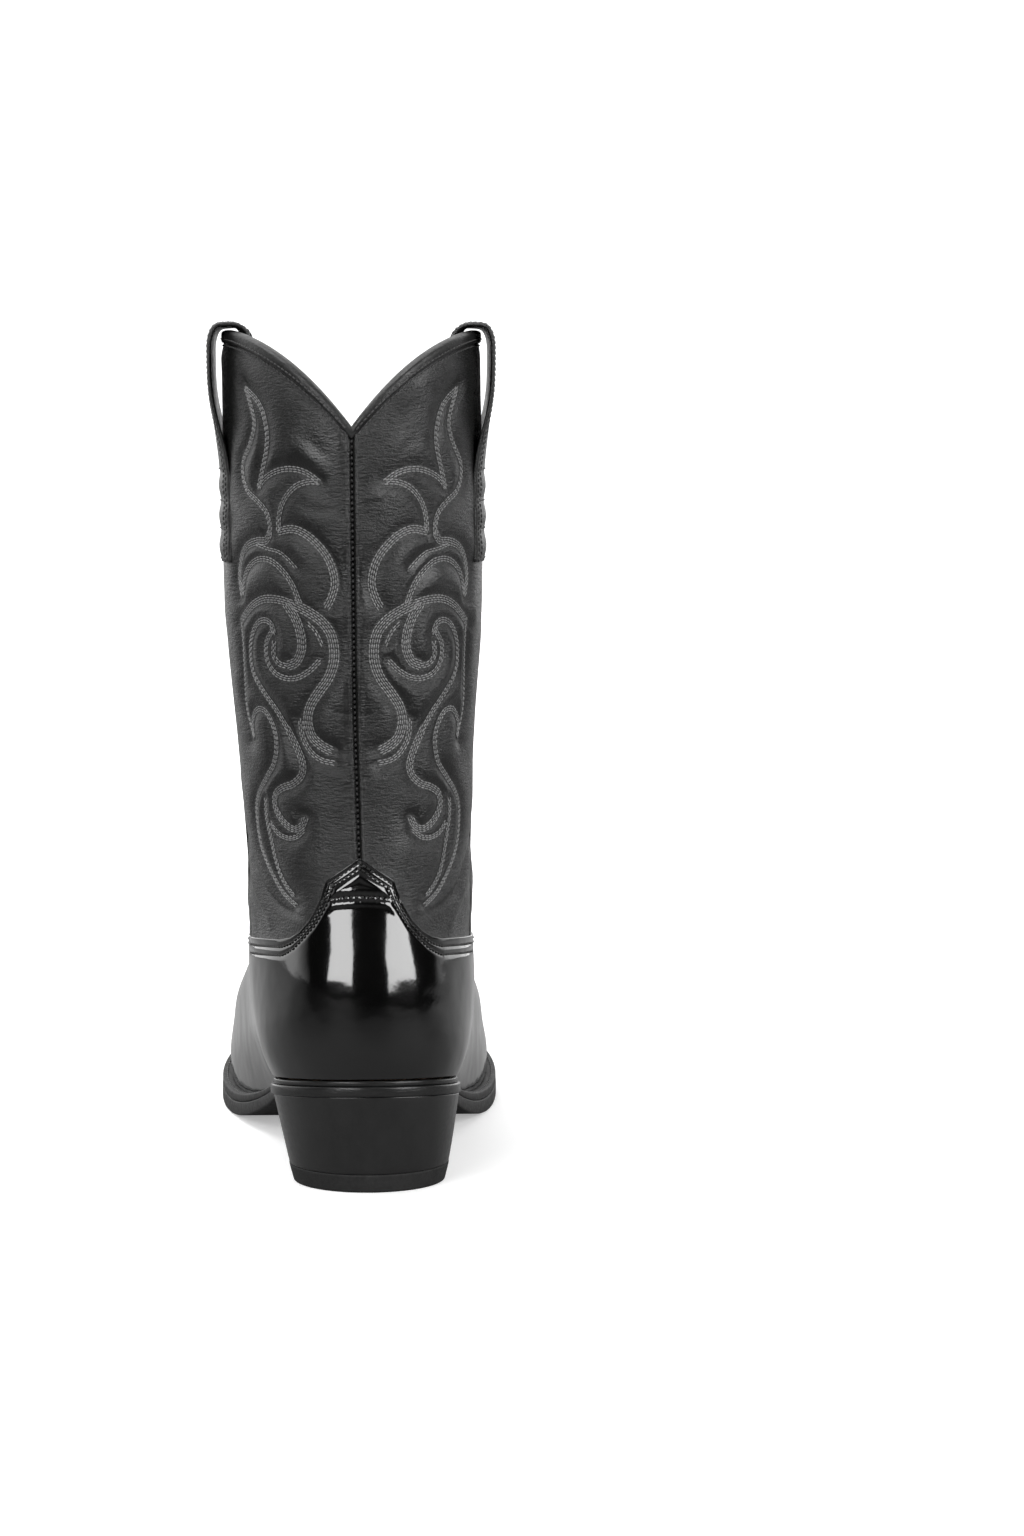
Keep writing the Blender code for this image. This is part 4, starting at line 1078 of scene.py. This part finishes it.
def dress_inner_nodes():
    """Better materials on the CAD pieces that keep their shape."""
    board = plain_stuff("fibre_board", (0.24, 0.15, 0.09), (0.38, 0.25, 0.15), 0.8, 180.0, 0.0003)
    cork = plain_stuff("cork", (0.20, 0.10, 0.045), (0.40, 0.24, 0.12), 0.88, 420.0, 0.0006)
    steel = plain_stuff("brushed_steel", (0.46, 0.46, 0.47), (0.62, 0.62, 0.63), 0.34, 300.0, 0.00004, 1.0,
                        (6.0, 0.6, 6.0))
    wood = plain_stuff("peg_wood", (0.45, 0.31, 0.17), (0.66, 0.50, 0.30), 0.7, 300.0, 0.0002, 0.0,
                       (1.0, 1.0, 0.15))
    pegs = [f"waist_peg_{side}_{i}" for side in ("lateral", "medial") for i in range(1, 5)]
    nails = [f"heel_nail_{i}" for i in range(1, 6)]
    for look, names in ((board, ("insole", "counter_stiffener", "toe_box")), (cork, ("cork_filler",)),
                        (steel, ("steel_shank", "heel_screw", *nails)), (wood, pegs),
                        (LINING, ("heel_lining", "vamp_lining", "sock_liner"))):
        for name in names:
            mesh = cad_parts[name].data
            mesh.materials.clear()
            mesh.materials.append(look)


def build_floor():
    """Pale floor with a painted glow for the camera, rising with distance so that it fades into the white
    backdrop; the boot itself sees it darker, with a painted pool of light near it and a lighter side
    towards the backdrop, as in a cut-out.
    """
    mesh = bpy.data.meshes.new("studio_floor")
    wide = 4.0
    mesh.from_pydata([(-wide, -wide, 0.0), (wide, -wide, 0.0), (wide, wide, 0.0), (-wide, wide, 0.0)], [],
                     [(0, 1, 2, 3)])
    floor = bpy.data.objects.new("studio_floor", mesh)
    look = Look("studio_floor")
    tone = look.patches(3.0, 2.0)
    seen = look.add("ShaderNodeLightPath").outputs["Is Camera Ray"]
    away = look.add("ShaderNodeVectorMath", {0: look.place}, operation="LENGTH").outputs["Value"]
    # painted glow: emission seen by camera rays only, weaker near the boot and stronger far off
    painted_glow = look.between(away, 0.35, 1.2, 0.2, 1.2)
    # painted pool of light for every ray but the camera's: lighter near the boot, dark further out, and
    # lighter towards the backdrop (+y)
    painted_light_pool = look.mix(look.between(away, 0.0, 1.0, 0.12, 0.55), grey(0.15), grey(0.015))
    along = look.add("ShaderNodeSeparateXYZ", {"Vector": look.place}).outputs["Y"]
    painted_light_pool = look.mix(look.between(along, 0.0, 1.0, -0.25, 0.35), painted_light_pool, grey(0.3))
    look.set(Base_Color=look.mix(seen, painted_light_pool, look.mix(tone, grey(0.84), grey(0.86))), Roughness=0.7,
             Specular_IOR_Level=0.1, Emission_Color=grey(1.0), Emission_Strength=look.times(seen, painted_glow))
    mesh.materials.append(look.material)
    bpy.context.scene.collection.objects.link(floor)


def area_light(name, place, target, width, height, radiance):
    """Rectangular softbox of this radiance, aimed at target."""
    light = bpy.data.lights.new(name, "AREA")
    light.shape = "RECTANGLE"
    light.size, light.size_y = width, height
    light.energy = radiance * math.pi * width * height
    lamp = bpy.data.objects.new(name, light)
    lamp.location = place
    lamp.rotation_euler = (Vector(target) - Vector(place)).to_track_quat("-Z", "Y").to_euler()
    lamp.visible_camera = False
    bpy.context.scene.collection.objects.link(lamp)


def softbox(name, azimuths, distance, heights, radiance):
    """Upright softbox behind the camera, between two azimuths in degrees from the camera's side."""
    first, last = (np.array((math.sin(a), -math.cos(a))) * distance for a in map(math.radians, azimuths))
    middle = (first + last) / 2.0
    height = (heights[0] + heights[1]) / 2.0
    area_light(name, (*middle, height), (0.0, 0.0, height), float(np.linalg.norm(last - first)),
               heights[1] - heights[0], radiance)


def build_world():
    """Bright backdrop behind the boot, dark room on the camera's side, soft light from above."""
    world = bpy.data.worlds.new("studio")
    world.use_nodes = True
    tree = world.node_tree
    way = tree.nodes.new("ShaderNodeTexCoord").outputs["Generated"]

    def ramp(direction, start, end, low, high):
        dot = tree.nodes.new("ShaderNodeVectorMath")
        dot.operation = "DOT_PRODUCT"
        dot.inputs[1].default_value = direction
        tree.links.new(way, dot.inputs[0])
        node = tree.nodes.new("ShaderNodeMapRange")
        for socket, value in zip(("From Min", "From Max", "To Min", "To Max"), (start, end, low, high)):
            node.inputs[socket].default_value = value
        tree.links.new(dot.outputs["Value"], node.inputs["Value"])
        return node.outputs["Result"]

    def larger(a, b):
        node = tree.nodes.new("ShaderNodeMath")
        node.operation = "MAXIMUM"
        tree.links.new(a, node.inputs[0])
        tree.links.new(b, node.inputs[1])
        return node.outputs["Value"]

    camera_ray = tree.nodes.new("ShaderNodeLightPath").outputs["Is Camera Ray"]
    room = larger(ramp(BACKDROP_WAY, 0.05, 0.5, 0.012, 1.5), ramp((0.0, 0.0, 1.0), 0.4, 0.9, 0.0, 0.3))
    background = tree.nodes["Background"]
    tree.links.new(larger(room, camera_ray), background.inputs["Strength"])
    background.inputs["Color"].default_value = grey(1.0)
    bpy.context.scene.world = world


def build_camera():
    lens = bpy.data.cameras.new("camera")
    lens.lens = 92.44
    lens.sensor_width = 36.0
    camera = bpy.data.objects.new("camera", lens)
    camera.location = (-0.003, -1.492, 0.298)
    camera.rotation_euler = (math.radians(90.0 - 5.37), 0.0, math.radians(-2.18))
    bpy.context.scene.collection.objects.link(camera)
    bpy.context.scene.camera = camera


BACKDROP_WAY = (-0.28, 0.96, 0.0)
BOX_DISTANCE, BOX_HEIGHTS, BOX_RADIANCE = 1.9, (0.25, 1.5), 7.6


def build_studio():
    build_floor()
    build_world()
    softbox("softbox_left", (-47.0, -13.0), BOX_DISTANCE, BOX_HEIGHTS, BOX_RADIANCE)
    softbox("softbox_right", (38.0, 76.0), BOX_DISTANCE, BOX_HEIGHTS, BOX_RADIANCE)
    area_light("softbox_above", (-0.5, 0.1, 1.9), (0.0, 0.0, 0.2), 1.0, 1.0, 5.0)
    build_camera()
    bpy.context.scene.view_settings.view_transform = "Standard"


build_shaft()
build_shaft_stitching()
build_lining()
build_binding()
build_pull_strap("lateral", 0.25)
build_pull_strap("medial", 0.75)
build_counter()
build_vamp()
build_outsole()
build_welt()
build_heel()
dress_inner_nodes()
build_studio()
